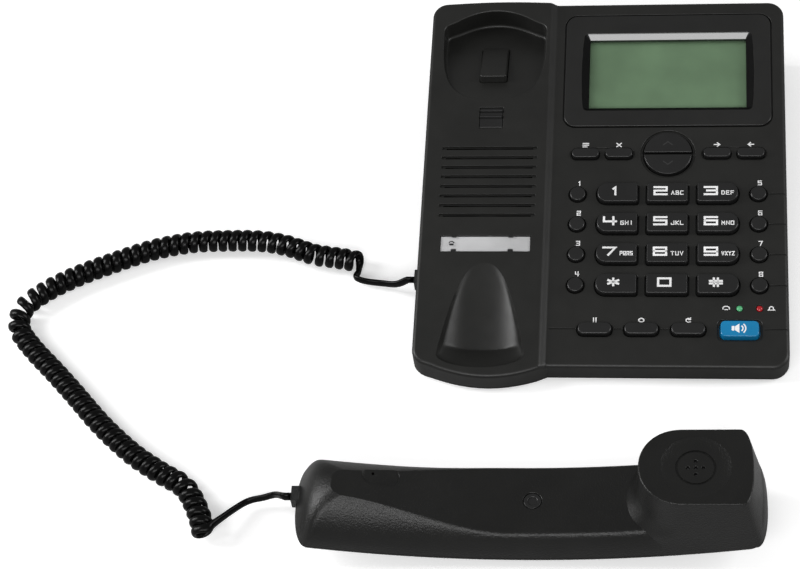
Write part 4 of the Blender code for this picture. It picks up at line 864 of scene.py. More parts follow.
@dataclass(frozen=True)
class KeyLayout:
    """Where every key lies, from the key field's driving sizes."""

    names: tuple[str, ...] = ("1", "2", "3", "4", "5", "6", "7", "8", "9", "star", "0", "hash")
    first_column: float = 7.4 * MM
    first_row: float = -9.5 * MM
    column_pitch: float = 24.5 * MM
    row_pitch: float = 16.8 * MM
    width: float = 20.2 * MM
    depth: float = 11.0 * MM
    end_radius: float = 5.0 * MM
    corner_radius: float = 1.2 * MM
    left_buttons: float = -12.3 * MM
    right_buttons: float = 76.1 * MM
    button_radius: float = 4.0 * MM
    nav_radius: float = 11.9 * MM
    nav_split: float = 1.0 * MM
    slim_offsets: tuple[float, ...] = (-40.85 * MM, -24.25 * MM, 24.25 * MM, 40.85 * MM)
    slim: Pair = (13.5 * MM, 5.4 * MM)
    pill: Pair = (16.4 * MM, 6.5 * MM)
    first_pill: float = -2.4 * MM
    pill_pitch: float = 22.3 * MM
    speaker_u: float = 66.55 * MM
    speaker: Pair = (18.5 * MM, 8.8 * MM)
    speaker_radius: float = 2.4 * MM
    lamps: Pair = (66.55 * MM, 76.05 * MM)
    lamp_v: float = -72 * MM
    lamp_radius: float = 1.5 * MM

    def dial_keys(self) -> list[Key]:
        """Returns the twelve dial keys."""
        keys = []
        for i, name in enumerate(self.names):
            column, row = i % 3, i // 3
            left = self.end_radius if column == 0 else self.corner_radius
            right = self.end_radius if column == 2 else self.corner_radius
            keys.append(Key("key_" + name, bar(self.width, self.depth, left, right), 2.8 * MM,
                            self.first_column + column * self.column_pitch,
                            self.first_row - row * self.row_pitch))
        return keys

    def memory_buttons(self) -> list[Key]:
        """Returns the eight round buttons beside the dial keys."""
        shape = disc(self.button_radius, 40)
        return [Key(f"memory_button_{side}_{row + 1}", shape, 1.6 * MM, u,
                    self.first_row - row * self.row_pitch, 0.7 * MM, 0.15 * MM)
                for side, u in (("left", self.left_buttons), ("right", self.right_buttons))
                for row in range(4)]

    def slim_keys(self) -> list[Key]:
        """Returns the four slim keys beside the round pair."""
        shape = bar(*self.slim, self.slim[1] / 2 - KEY_GAP)
        return [Key(f"menu_key_{i + 1}", shape, 2.0 * MM, MIDDLE_COLUMN + offset, NAV_V, draft=0.1 * MM)
                for i, offset in enumerate(self.slim_offsets)]

    def pills(self) -> list[Key]:
        """Returns the three pill-shaped keys of the lowest row."""
        shape = bar(*self.pill, self.pill[1] / 2 - KEY_GAP)
        return [Key(f"function_key_{i + 1}", shape, 2.5 * MM, self.first_pill + i * self.pill_pitch, PILL_V,
                    0.8 * MM, 0.15 * MM) for i in range(3)]

    def speaker_key(self) -> Key:
        """Returns the blue speaker key."""
        return Key("speaker_key", bar(*self.speaker, self.speaker_radius), 2.4 * MM, self.speaker_u, PILL_V,
                   0.7 * MM, 0.2 * MM)

    def nav_keys(self) -> list[Key]:
        """Returns the two halves of the round key."""
        return [Key(name, half_disc(self.nav_radius, self.nav_split / 2, upper), 1.0 * MM, MIDDLE_COLUMN,
                    NAV_V, 0.5 * MM, 0.1 * MM) for name, upper in (("nav_up", True), ("nav_down", False))]

    def sunk(self) -> list[Key]:
        """Returns every key that has a hole of its own in the key field."""
        return self.dial_keys() + self.memory_buttons() + self.slim_keys() + self.pills()


@dataclass
class Housing:
    """The top housing: one hollow shell with its wells, holes, recesses and grooves."""

    dresser: Dresser
    repeater: Repeater
    layout: KeyLayout
    plan: Plan = Plan()
    ear: EarWell = EarWell()
    mouth: MouthWell = MouthWell()
    rim: float = 0.3 * MM
    slot_count: int = 8
    first_slot: float = 15.9 * MM
    slot_pitch: float = 5.46 * MM
    slot: Triple = (48 * MM, 1.7 * MM, 1.0 * MM)
    sound_hole: Triple = (44 * MM, 0.7 * MM, 4 * MM)
    sound_level: float = RAISE - 0.5 * MM
    line: Pair = (0.8 * MM, 0.5 * MM)
    line_v: float = PILL_V + 0.4 * MM
    window_hole: Triple = (87.8 * MM, 49.5 * MM, 3.2 * MM)
    tab_hole: Triple = (11.9 * MM, 12.1 * MM, 0.3 * MM)
    hook_hole: Triple = (14.4 * MM, 25.6 * MM, 1.3 * MM)
    display_seat: Triple = (104.8 * MM, 67.3 * MM, 6.5 * MM)
    card_seat: Triple = (44.6 * MM, 8.8 * MM, 0.5 * MM)
    speaker_seat: float = 0.7 * MM
    nav_seat: float = 0.8 * MM
    jack: Pair = (11.6 * MM, 9.8 * MM)

    def shell(self) -> Piece:
        """Returns the hollow shell in slope axes, before its holes are cut."""
        plan = self.plan
        turns = np.linspace(0, QUARTER, 7)
        edges = [(plan.edge * (1 - math.cos(t)), plan.edge * (math.sin(t) - 1)) for t in turns]
        shell = stepped_body(plan, 0.0, plan.skirt, edges, "top_shell")
        space = stepped_body(plan, plan.wall, plan.skirt - OVERRUN, [(0.0, -plan.top_wall)], "space")
        to_slope = SLOPE_PLACE.inverted() @ BASE_PLACE
        for piece in (shell, space):
            piece.data.transform(to_slope)
        combine(space, solid("ear_bowl", self.ear.rings(plan.wall)))
        combine(space, solid("mouth_bowl", self.mouth.rings(plan.wall)))
        combine(shell, space)
        combine(shell, solid("ear_cut", self.ear.rings()))
        combine(shell, solid("mouth_cut", self.mouth.rings()))
        return shell

    def holes(self) -> list[Rings]:
        """Returns the cutters of the holes that keys, lamps, the window and the tab use."""
        deep = -self.plan.top_wall - OVERRUN
        layout = self.layout
        speaker = layout.speaker_key()
        cuts = [(lambda g, key=key: key.placed(HOLE_GAP + g), 0.0, self.rim) for key in layout.sunk()]
        cuts.append((disc(layout.nav_radius + HOLE_GAP, 64, MIDDLE_COLUMN, NAV_V), -self.nav_seat, self.rim))
        cuts.append((lambda g: speaker.placed(HOLE_GAP + g), -self.speaker_seat, self.rim / 2))
        cuts += [(disc(layout.lamp_radius + self.rim, 24, u, layout.lamp_v), 0.0, 0.2 * MM)
                 for u in layout.lamps]
        bodies = [mouth_rings(shape, top, deep, rim) for shape, top, rim in cuts]
        bodies.append(prism(rounded_box(*self.window_hole, u=DISPLAY_U, v=WINDOW_V), deep, RAISE + OVERRUN))
        bodies.append(mouth_rings(bar(*self.tab_hole, u=COLUMN_U, v=TAB_V), RAISE, deep, self.rim))
        return bodies

    def recesses(self) -> list[Rings]:
        """Returns the cutters of the shallow recesses round the display, the keys and the card."""
        layout = self.layout
        length, depth = layout.slim
        width, height = layout.speaker
        margin = 2.4 * MM
        cuts = [(bar(*self.display_seat, u=DISPLAY_U, v=DISPLAY_V, steps=10), 0.0, 1.5 * MM, 0.25 * MM),
                (disc(13.5 * MM, 72, MIDDLE_COLUMN, NAV_V), 0.0, self.nav_seat, 0.35 * MM)]
        for near, far in (layout.slim_offsets[:2], layout.slim_offsets[2:]):
            shape = bar(abs(far - near) + length + 2.0 * MM, depth + 2.0 * MM, depth / 2 + 0.9 * MM,
                        u=MIDDLE_COLUMN + (near + far) / 2, v=NAV_V)
            cuts.append((shape, 0.0, 0.45 * MM, 0.2 * MM))
        cuts.append((bar(width + margin, height + margin, margin, u=layout.speaker_u, v=PILL_V), 0.0,
                     self.speaker_seat, 0.4 * MM))
        cuts.append((bar(*self.card_seat, u=COLUMN_U, v=CARD_V), RAISE, 1.6 * MM, 0.2 * MM))
        return [mouth_rings(shape, top, top - deep, rim) for shape, top, deep, rim in cuts]

    def groove(self, size: Triple, top: float, start: Pair, count: int = 1,
               step: Pair = (0.0, 0.0)) -> Piece:
        """Returns the cutter of a row of long grooves.

        Args:
            size: one groove's length, width and depth.
            top: the height of the surface that it cuts.
            start: the first one's middle.
            count: how many there are.
            step: how far each lies from the one before.
        """
        length, width, deep = size
        shape = bar(length, width, width / 2.2, steps=4)
        piece = solid("groove", mouth_rings(shape, top, top - deep, 0.15 * MM))
        return self.repeater.spread(piece, count, (*start, 0), (*step, 0))

    def lines(self) -> list[Piece]:
        """Returns the cutters of the long grooves: the sound slots, the row lines and the pill line."""
        layout = self.layout
        end = self.plan.right + OVERRUN
        slots = (COLUMN_U, self.first_slot), self.slot_count, (0, -self.slot_pitch)
        start = layout.right_buttons + layout.button_radius + 0.6 * MM
        gap = layout.pill_pitch - layout.pill[0] - 1.8 * MM
        left = self.plan.step_end + 0.6 * MM
        right = layout.first_pill - layout.pill[0] / 2 - 0.9 * MM
        tail = layout.speaker_u + layout.speaker[0] / 2 + 2.4 * MM
        grooves = [
            self.groove(self.slot, RAISE, *slots),
            self.groove((end - start, *self.line), 0.0, (start + (end - start) / 2, layout.first_row), 4,
                        (0, -layout.row_pitch)),
            self.groove((gap, *self.line), 0.0, (layout.first_pill + layout.pill_pitch / 2, self.line_v), 2,
                        (layout.pill_pitch, 0)),
            self.groove((right - left, *self.line), 0.0, ((left + right) / 2, self.line_v)),
            self.groove((end - tail, *self.line), 0.0, ((end + tail) / 2, self.line_v))]
        return [joined("grooves", grooves), self.groove(self.sound_hole, self.sound_level, *slots)]

    def build(self) -> None:
        """Builds the shell, cuts it and puts it on the base."""
        shell = self.shell()
        combine(shell, solid("recesses", *self.recesses()))
        combine(shell, solid("holes", *self.holes()))
        for cutter in self.lines():
            combine(shell, cutter)
        cutter = solid("hook_hole", prism(rounded_box(*self.hook_hole), -5 * MM, 6 * MM))
        cutter.data.transform(HOOK_PLACE)
        combine(shell, cutter)
        wide, high = self.jack
        through = 8 * MM
        for low, top in (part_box("handset_jack"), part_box("line_jack")):
            middle = (Vector(low) + Vector(top)) / 2
            if top[0] - low[0] > wide:
                size = (top[0] - low[0] + 0.6 * MM, through, high)
                middle.y = top[1]
            else:
                size = (through, wide, high)
                middle.x = low[0]
            mesh = bmesh.new()
            bmesh.ops.create_cube(mesh, size=1.0)
            place = SLOPE_PLACE.inverted() @ Matrix.Translation(middle)
            mesh.transform(place @ Matrix.Diagonal((*size, 1.0)))
            combine(shell, new_object("jack_cut", mesh))
        shell.name = "top_shell"
        self.dresser.dress(shell, self.dresser.finishes.housing, "base", "top_housing")


DIAL_LETTERS = {"2": "ABC", "3": "DEF", "4": "GHI", "5": "JKL", "6": "MNO", "7": "PQRS", "8": "TUV",
                "9": "WXYZ"}


class Pen:
    """Writes the digits and marks of a keypad with strokes of even width."""

    # Each stroke is its corners in shares of the sign's width and height, with a slash between strokes
    STROKES = {
        "0": "0,0 1,0 1,1 0,1 0,0", "1": "0.25,0.8 0.55,1 0.55,0", "2": "0,1 1,1 1,0.52 0,0.52 0,0 1,0",
        "3": "0,1 1,1 1,0 0,0 / 0.2,0.52 1,0.52", "4": "0,1 0,0.42 1,0.42 / 0.78,1 0.78,0",
        "5": "1,1 0,1 0,0.54 1,0.54 1,0 0,0", "6": "1,1 0,1 0,0 1,0 1,0.54 0,0.54", "7": "0,1 1,1 0.42,0",
        "8": "0,0 1,0 1,1 0,1 0,0 / 0,0.52 1,0.52", "9": "1,0.46 0,0.46 0,1 1,1 1,0 0,0",
        "star": "0.5,0.05 0.5,0.95 / 0.1,0.27 0.9,0.73 / 0.1,0.73 0.9,0.27",
        "hash": "0.36,0 0.36,1 / 0.68,0 0.68,1 / 0.05,0.33 1,0.33 / 0.05,0.67 1,0.67",
        "A": "0,0 0.5,1 1,0 / 0.22,0.35 0.78,0.35",
        "B": "0,0 0,1 0.85,1 0.85,0.5 1,0.5 1,0 0,0 / 0,0.5 0.85,0.5", "C": "1,1 0,1 0,0 1,0",
        "D": "0,0 0,1 0.7,1 1,0.7 1,0.3 0.7,0 0,0", "E": "1,1 0,1 0,0 1,0 / 0,0.5 0.8,0.5",
        "F": "1,1 0,1 0,0 / 0,0.5 0.8,0.5", "G": "1,1 0,1 0,0 1,0 1,0.48 0.55,0.48",
        "H": "0,0 0,1 / 1,0 1,1 / 0,0.5 1,0.5", "I": "0.5,0 0.5,1", "J": "1,1 1,0 0,0 0,0.35",
        "K": "0,0 0,1 / 1,1 0.15,0.5 1,0", "L": "0,1 0,0 1,0", "M": "0,0 0,1 0.5,0.35 1,1 1,0",
        "N": "0,0 0,1 1,0 1,1", "O": "0,0 1,0 1,1 0,1 0,0", "P": "0,0 0,1 1,1 1,0.45 0,0.45",
        "Q": "0,0 1,0 1,1 0,1 0,0 / 0.6,0.35 1.1,-0.1", "R": "0,0 0,1 1,1 1,0.45 0,0.45 / 0.45,0.45 1,0",
        "S": "1,1 0,1 0,0.5 1,0.5 1,0 0,0", "T": "0,1 1,1 / 0.5,1 0.5,0", "U": "0,1 0,0 1,0 1,1",
        "V": "0,1 0.5,0 1,1", "W": "0,1 0.25,0 0.5,0.7 0.75,0 1,1", "X": "0,0 1,1 / 0,1 1,0",
        "Y": "0,1 0.5,0.5 1,1 / 0.5,0.5 0.5,0", "Z": "0,1 1,1 0,0 1,0",
        "lines": "0,1 1,1 / 0,0.5 1,0.5 / 0,0 0.7,0", "cross": "0.1,0 0.9,1 / 0.1,1 0.9,0",
        "arrow_out": "0,0.5 0.95,0.5 / 0.55,1 1,0.5 0.55,0",
        "arrow_back": "1,0.5 0.05,0.5 / 0.45,1 0,0.5 0.45,0", "pause": "0.25,0 0.25,1 / 0.75,0 0.75,1",
        "ring": "0.5,0 1,0.3 1,0.7 0.5,1 0,0.7 0,0.3 0.5,0",
        "again": "0.9,0.15 0.5,0 0.1,0.25 0.1,0.75 0.5,1 0.9,0.8 / 0.95,1.1 0.95,0.7 0.6,0.7",
        "hump": "0,0.25 0,0.7 0.3,1 0.7,1 1,0.7 1,0.25 / 0.3,0.1 0.7,0.1",
        "bell": "0,0 1,0 0.8,0.35 0.8,0.75 0.5,1 0.2,0.75 0.2,0.35 0,0",
    }

    def __init__(self, thickness: float = 0.05 * MM) -> None:
        """Keeps how thick the print is."""
        self.thickness = thickness

    def run(self, mesh: Mesh, points: Sequence[Pair], width: float, h: float) -> None:
        """Adds one stroke as a flat bar with mitred corners.

        Args:
            mesh: the mesh that gets it.
            points: its corners.
            width: how wide it is.
            h: the height of the surface that it lies on.
        """
        way = [Vector((*p, 0)) for p in points]
        closed = (way[0] - way[-1]).length < width / 10
        if closed:
            way = way[:-1]
        low, high = Vector((0, 0, h - self.thickness)), Vector((0, 0, h + self.thickness))
        rings = []
        for i, here in enumerate(way):
            last = way[i - 1] if i or closed else None
            following = way[(i + 1) % len(way)] if i < len(way) - 1 or closed else None
            a = (here - last).normalized() if last is not None else (following - here).normalized()
            b = (following - here).normalized() if following is not None else a
            side = (Vector((-a.y, a.x, 0)) + Vector((-b.y, b.x, 0))).normalized()
            reach = width / 2 / max(side.dot(Vector((-a.y, a.x, 0))), 0.5)
            onward = -1 if last is None else 1 if following is None else 0
            left, right = (here + a * onward * width / 2 + side * reach * flip for flip in (1, -1))
            rings.append([left + low, right + low, right + high, left + high])
        add_rings(mesh, rings, closed)

    def sign(self, mesh: Mesh, sign: str, place: Triple, size: Pair, width: float) -> None:
        """Adds a digit or mark centred on a place.

        Args:
            mesh: the mesh that gets it.
            sign: its name in the table of strokes.
            place: its middle, and the height of its surface.
            size: its width and height.
            width: how wide its strokes are.
        """
        u, v, h = place
        for stroke in self.STROKES[sign].split("/"):
            corners = [map(float, corner.split(",")) for corner in stroke.split()]
            self.run(mesh, [(u + (x - 0.5) * size[0], v + (y - 0.5) * size[1]) for x, y in corners], width, h)

    def plate(self, mesh: Mesh, outline: Outline, h: float) -> None:
        """Adds one flat printed shape."""
        add_rings(mesh, prism(outline, h - self.thickness, h + self.thickness))


@dataclass
class Keypad:
    """Every key with its legend, and the print beside the keys."""

    SLIM_SIGNS = ("lines", "cross", "arrow_out", "arrow_back")
    PILL_SIGNS = ("pause", "ring", "again")
    LAMP_SIGNS = ("hump", "bell")

    dresser: Dresser
    layout: KeyLayout
    pen: Pen = field(default_factory=Pen)
    flange: float = 0.9 * MM
    flange_top: float = -2.8 * MM
    flange_bottom: float = -3.8 * MM
    digit: Pair = (5.9 * MM, 4.0 * MM)
    stroke: float = 1.05 * MM
    narrow_one: float = 0.55
    group_width: float = 6.6 * MM
    letter: Pair = (1.9 * MM, 0.42 * MM)

    def cap(self, key: Key) -> Piece:
        """Returns a key with a rounded top, leaning walls and the flange under it."""
        rings = prism(key.placed(self.flange), self.flange_bottom, self.flange_top)
        rings.append(ring(key.placed(0.0), self.flange_top))
        rings += cap_rings(key.placed, self.flange_top + 0.3 * MM, key.proud, key.edge, key.draft)
        rings.append(ring(key.placed(-key.draft - key.edge * 1.35), key.proud))
        return solid(key.name + "_cap", rings)

    def place_key(self, key: Key, finish: Plastic, slot: str = "black_plastic") -> None:
        """Puts one key's cap on its own body."""
        self.dresser.dress(self.cap(key), finish, key.name, key.name, slot=slot)

    def print_on(self, mesh: Mesh, name: str, body: str) -> None:
        """Puts a mesh of print on a body."""
        self.dresser.dress(new_object(name, mesh), self.dresser.finishes.print, body, slot="white_card",
                           weighted=False)

    def dial(self) -> None:
        """Builds the twelve dial keys, their digits and the common letter groups of a telephone dial."""
        for key in self.layout.dial_keys():
            self.place_key(key, self.dresser.finishes.key)
            sign = key.name.removeprefix("key_")
            group = DIAL_LETTERS.get(sign, "")
            mesh = bmesh.new()
            width = self.digit[0] * (self.narrow_one if sign == "1" else 1.0)
            middle = (key.u - (3.4 * MM if group else 1.2 * MM), key.v + 0.5 * MM, key.proud)
            self.pen.sign(mesh, sign, middle, (width, self.digit[1]), self.stroke)
            step = self.group_width / max(len(group), 3)
            for k, letter in enumerate(group):
                place = (key.u + 1.5 * MM + (k + 0.5) * step, key.v - 0.6 * MM, key.proud)
                self.pen.sign(mesh, letter, place, (step * 0.6, self.letter[0]), self.letter[1])
            self.print_on(mesh, f"{key.name}_legend", key.name)

    def small_signs(self) -> None:
        """Prints plain numbers above the round buttons and small signs above the other keys and the lamps."""
        layout = self.layout
        numbers = [str(i + 1) for i in range(8)]
        lamps = [(u, layout.lamp_v) for u in (60.2 * MM, 81.6 * MM)]
        rows = (
            ([(key.u + 0.8 * MM, key.v) for key in layout.memory_buttons()], numbers, 6.3, (1.6, 2.2), 0.45),
            ([(key.u, key.v) for key in layout.slim_keys()], self.SLIM_SIGNS, 5.3, (2.8, 2.0), 0.5),
            ([(key.u, key.v) for key in layout.pills()], self.PILL_SIGNS, 5.2, (2.4, 2.1), 0.5),
            (lamps, self.LAMP_SIGNS, 0.1, (3.0, 1.9), 0.48))
        mesh = bmesh.new()
        for places, signs, above, (width, height), stroke in rows:
            for (u, v), sign in zip(places, signs):
                self.pen.sign(mesh, sign, (u, v + above * MM, 0.0), (width * MM, height * MM), stroke * MM)
        self.print_on(mesh, "field_print", "base")

    def speaker_mark(self, key: Key) -> None:
        """Prints a loudspeaker pictogram on the blue key."""
        mesh = bmesh.new()
        u, v = key.u - 1.0 * MM, key.v
        box = rounded_box(1.3 * MM, 2.4 * MM, 0.2 * MM, u=u - 2.2 * MM, v=v, steps=2)
        cone = [(u + x * MM, v + y * MM) for x, y in ((-1.3, -1.0), (0.8, -2.4), (0.8, 2.4), (-1.3, 1.0))]
        for outline in (box, cone):
            self.pen.plate(mesh, outline, key.proud)
        for radius in (1.6 * MM, 2.9 * MM):
            self.pen.run(mesh, arc((u + 0.9 * MM, v), radius, -46, 92, 10), 0.62 * MM, key.proud)
        self.print_on(mesh, "speaker_mark", key.name)

    def lamps(self) -> None:
        """Builds the two lamps as small domes."""
        finishes, layout = self.dresser.finishes, self.layout
        kinds = (("led_in_use", finishes.green_lamp, "green_lens"),
                 ("led_ring", finishes.red_lamp, "red_lens"))
        for (name, finish, slot), u in zip(kinds, layout.lamps):
            rings = [ring(circle(layout.lamp_radius, 32, u, layout.lamp_v), -6.8 * MM)]
            for turn in np.linspace(0, QUARTER, 7)[:-1]:
                rings.append(ring(circle(layout.lamp_radius * math.cos(turn), 32, u, layout.lamp_v),
                                  0.9 * MM * math.sin(turn) - 0.3 * MM))
            self.dresser.dress(solid(name + "_dome", rings), finish, "base", name, slot=slot)

    def build(self) -> None:
        """Builds every key, lamp and legend."""
        finishes = self.dresser.finishes
        self.dial()
        for key in (self.layout.memory_buttons() + self.layout.slim_keys() + self.layout.pills()
                    + self.layout.nav_keys()):
            self.place_key(key, finishes.key)
        speaker = self.layout.speaker_key()
        self.place_key(speaker, finishes.blue, "blue_plastic")
        self.speaker_mark(speaker)
        for key, turn in zip(self.layout.nav_keys(), (1, -1)):
            mesh = bmesh.new()
            v = NAV_V + turn * 5.6 * MM
            corners = [(MIDDLE_COLUMN + x * MM, v + turn * y * MM)
                       for x, y in ((-2.2, -0.9), (0, 0.9), (2.2, -0.9))]
            self.pen.run(mesh, corners, 0.5 * MM, key.proud)
            self.dresser.dress(new_object(key.name + "_mark", mesh), finishes.mark, key.name, weighted=False)
        self.small_signs()
        self.lamps()


@dataclass
class Display:
    """The display: its glossy frame, the window's sloping sides (all but the upper one in a near-black copy
    of the frame's plastic, painted shade), the glass and the green panel.
    """

    dresser: Dresser
    size: Pair = (103.5 * MM, 66.0 * MM)
    corner: float = 6 * MM
    edge: float = 0.5 * MM
    proud: float = 0.45 * MM
    thickness: float = 1.65 * MM
    window: Pair = (84.2 * MM, 45.9 * MM)
    window_edge: float = 0.3 * MM
    taper: float = 2.6 * MM
    slope_depth: float = 2.27 * MM
    bow: float = 1.3 * MM
    sink: float = 3.4 * MM
    collar: float = 1.5 * MM

    def opening(self, grow: float, between: int = 1) -> Outline:
        """Returns the window's outline, grown by an amount, with points between its corners."""
        corners = rounded_box(self.window[0] + 2 * grow, self.window[1] + 2 * grow,
                              max(2 * MM + grow, 0.3 * MM), u=DISPLAY_U, v=WINDOW_V)
        outline = []
        for (u, v), (next_u, next_v) in zip(corners, corners[1:] + corners[:1]):
            parts = between if math.hypot(next_u - u, next_v - v) > 10 * MM else 1
            outline += [(u + (next_u - u) * k / parts, v + (next_v - v) * k / parts) for k in range(parts)]
        return outline

    def bowed(self, grow: float) -> Outline:
        """Returns the window's outline at the frame's top, where its left and right sides bow out."""
        half = self.window[0] / 2
        return [(u + math.copysign(self.bow, u - DISPLAY_U) * (abs(u - DISPLAY_U) / half) ** 4
                 * max(0.0, 1 - (2 * (v - WINDOW_V) / self.window[1]) ** 2), v)
                for u, v in self.opening(grow, 10)]

    def window_cutter(self) -> Rings:
        """Returns the rings of the window's cutter, whose walls slope down to the panel."""
        rings = prism(self.opening(-self.taper, 10), -self.sink - OVERRUN, self.proud - self.slope_depth)
        rings += [ring(self.bowed(outward - 0.1 * MM), self.proud - down)
                  for outward, down in rounding(self.window_edge, 3, LAST_TURN)]
        return rings + [ring(self.bowed(0.2 * MM + OVERRUN / 2), self.proud + OVERRUN)]

    def build(self) -> None:
        """Builds the frame, and gives the glass and the panel their finishes."""
        finishes = self.dresser.finishes
        plate = bar(*self.size, self.corner, u=DISPLAY_U, v=DISPLAY_V, steps=12)
        frame = solid("display_frame", cap_rings(plate, self.proud - self.thickness, self.proud, self.edge))
        collar = prism(self.opening(self.collar), -self.sink, -0.6 * MM)
        combine(frame, solid("collar", collar), "UNION")
        combine(frame, solid("window_cut", self.window_cutter()))
        self.dresser.dress(frame, finishes.frame, "base", "display_bezel", slot="bezel_plastic")
        for finish in (finishes.window_rim, finishes.shaded_window_side):
            frame.data.materials.append(self.dresser.material(finish))
        turned = SLOPE_PLACE.to_3x3()
        across, along, up = (turned @ Vector(axis) for axis in ((1, 0, 0), (0, 1, 0), (0, 0, 1)))
        middle = SLOPE_PLACE @ Vector((DISPLAY_U, WINDOW_V, 0))
        # The window's upper wall gets the glossy rim plastic; its other inner walls get the near-black copy
        # of the frame's plastic, painted shade
        for face in frame.data.polygons:
            if face.normal.dot(face.center - middle) < 0 and -0.1 < face.normal.dot(up) < 0.9:
                far = face.normal.dot(along) < -abs(face.normal.dot(across))
                face.material_index = 1 if far else 2
        self.dresser.repaint("display_lens", finishes.clear)
        self.dresser.repaint("lcd_panel", finishes.display)


@dataclass
class Cradle:
    """What lies on the cradle column: the hook switch, the hanger tab and the index card."""

    dresser: Dresser
    hook_size: Pair = (13.6 * MM, 24.8 * MM)
    hook_proud: float = 5.8 * MM
    hook_fall: float = 3.0 * MM
    hook_nose: float = 1.4 * MM
    hook_edge: float = 0.9 * MM
    hook_flange: Pair = (-3.5 * MM, -2.5 * MM)
    tab_size: Pair = (11.3 * MM, 11.5 * MM)
    tab_sink: float = 4.0 * MM
    tab_edge: float = 0.4 * MM
    rib: float = 1.0 * MM
    holder: Triple = (2.6 * MM, 1.3 * MM, 0.4 * MM)

    def hook(self) -> None:
        """Builds the hook switch: a rounded wedge, flush at its back, with a flange under the floor."""
        shape, (low, high) = bar(*self.hook_size, self.hook_nose), self.hook_flange
        rings = prism(shape(self.hook_edge), low, high) + [ring(shape(0.0), high)]
        for inward, down in rounding(self.hook_edge, 5):
            top = self.hook_proud - down
            rings.append(np.array([(x, y, top - self.hook_fall * (0.5 + y / self.hook_size[1]))
                                   for x, y in shape(-inward)]))
        self.dresser.dress(solid("hook_block", rings), self.dresser.finishes.housing, "hook_switch",
                           "hook_switch", place=SLOPE_PLACE @ HOOK_PLACE)

    def tab(self) -> None:
        """Builds the hanger tab with its two ribs and rounded edges."""
        width, length = self.tab_size
        half, edge = length / 2, self.tab_edge
        side = [(-half, -self.tab_sink), (half, -self.tab_sink), (half, RAISE - edge), (half - edge, RAISE)]
        for share in (0.55, -0.05):
            start = half * share
            side += [(start + self.rib + 0.2 * MM, RAISE)]
            side += [(start + out * self.rib, RAISE + up * self.rib)
                     for out, up in ((1, 0.75), (0.7, 1), (0.3, 1), (0, 0.75))]
            side += [(start - 0.2 * MM, RAISE)]
        side += [(-half + edge, RAISE), (-half, RAISE - edge)]
        rings = [np.array([(x, v, h) for v, h in side]) for x in np.linspace(-width / 2, width / 2, 7)]
        self.dresser.dress(solid("ribbed_tab", rings), self.dresser.finishes.key, "hanger_tab", "hanger_tab",
                           place=SLOPE_PLACE @ Matrix.Translation((COLUMN_U, TAB_V, 0)))

    def card(self) -> None:
        """Gives the card and its cover their finishes, with four holders at the card and a small mark."""
        finishes = self.dresser.finishes
        self.dresser.repaint("index_card", finishes.card)
        self.dresser.repaint("index_cover", finishes.clear)
        holders = [cap_rings(bar(*self.holder, u=COLUMN_U + u, v=CARD_V + side * 3.9 * MM), RAISE - 0.2 * MM,
                             RAISE + 0.25 * MM, 0.15 * MM)
                   for u in (-15.5 * MM, 12.5 * MM) for side in (-1, 1)]
        self.dresser.dress(solid("card_holders", *holders), finishes.key, "base")
        mesh = bmesh.new()
        pen = Pen(0.04 * MM)
        u, v, h = COLUMN_U - 16.6 * MM, CARD_V + 0.2 * MM, RAISE + 0.02 * MM
        pen.run(mesh, arc((u, v - 0.5 * MM), 1.3 * MM, 25, 130, 8), 0.45 * MM, h)
        pen.plate(mesh, rounded_box(2.2 * MM, 0.9 * MM, 0.3 * MM, u=u, v=v - 0.9 * MM, steps=3), h)
        self.dresser.dress(new_object("card_mark", mesh), finishes.key, "base", weighted=False)

    def build(self) -> None:
        """Builds the cradle's pieces."""
        self.hook()
        self.tab()
        self.card()


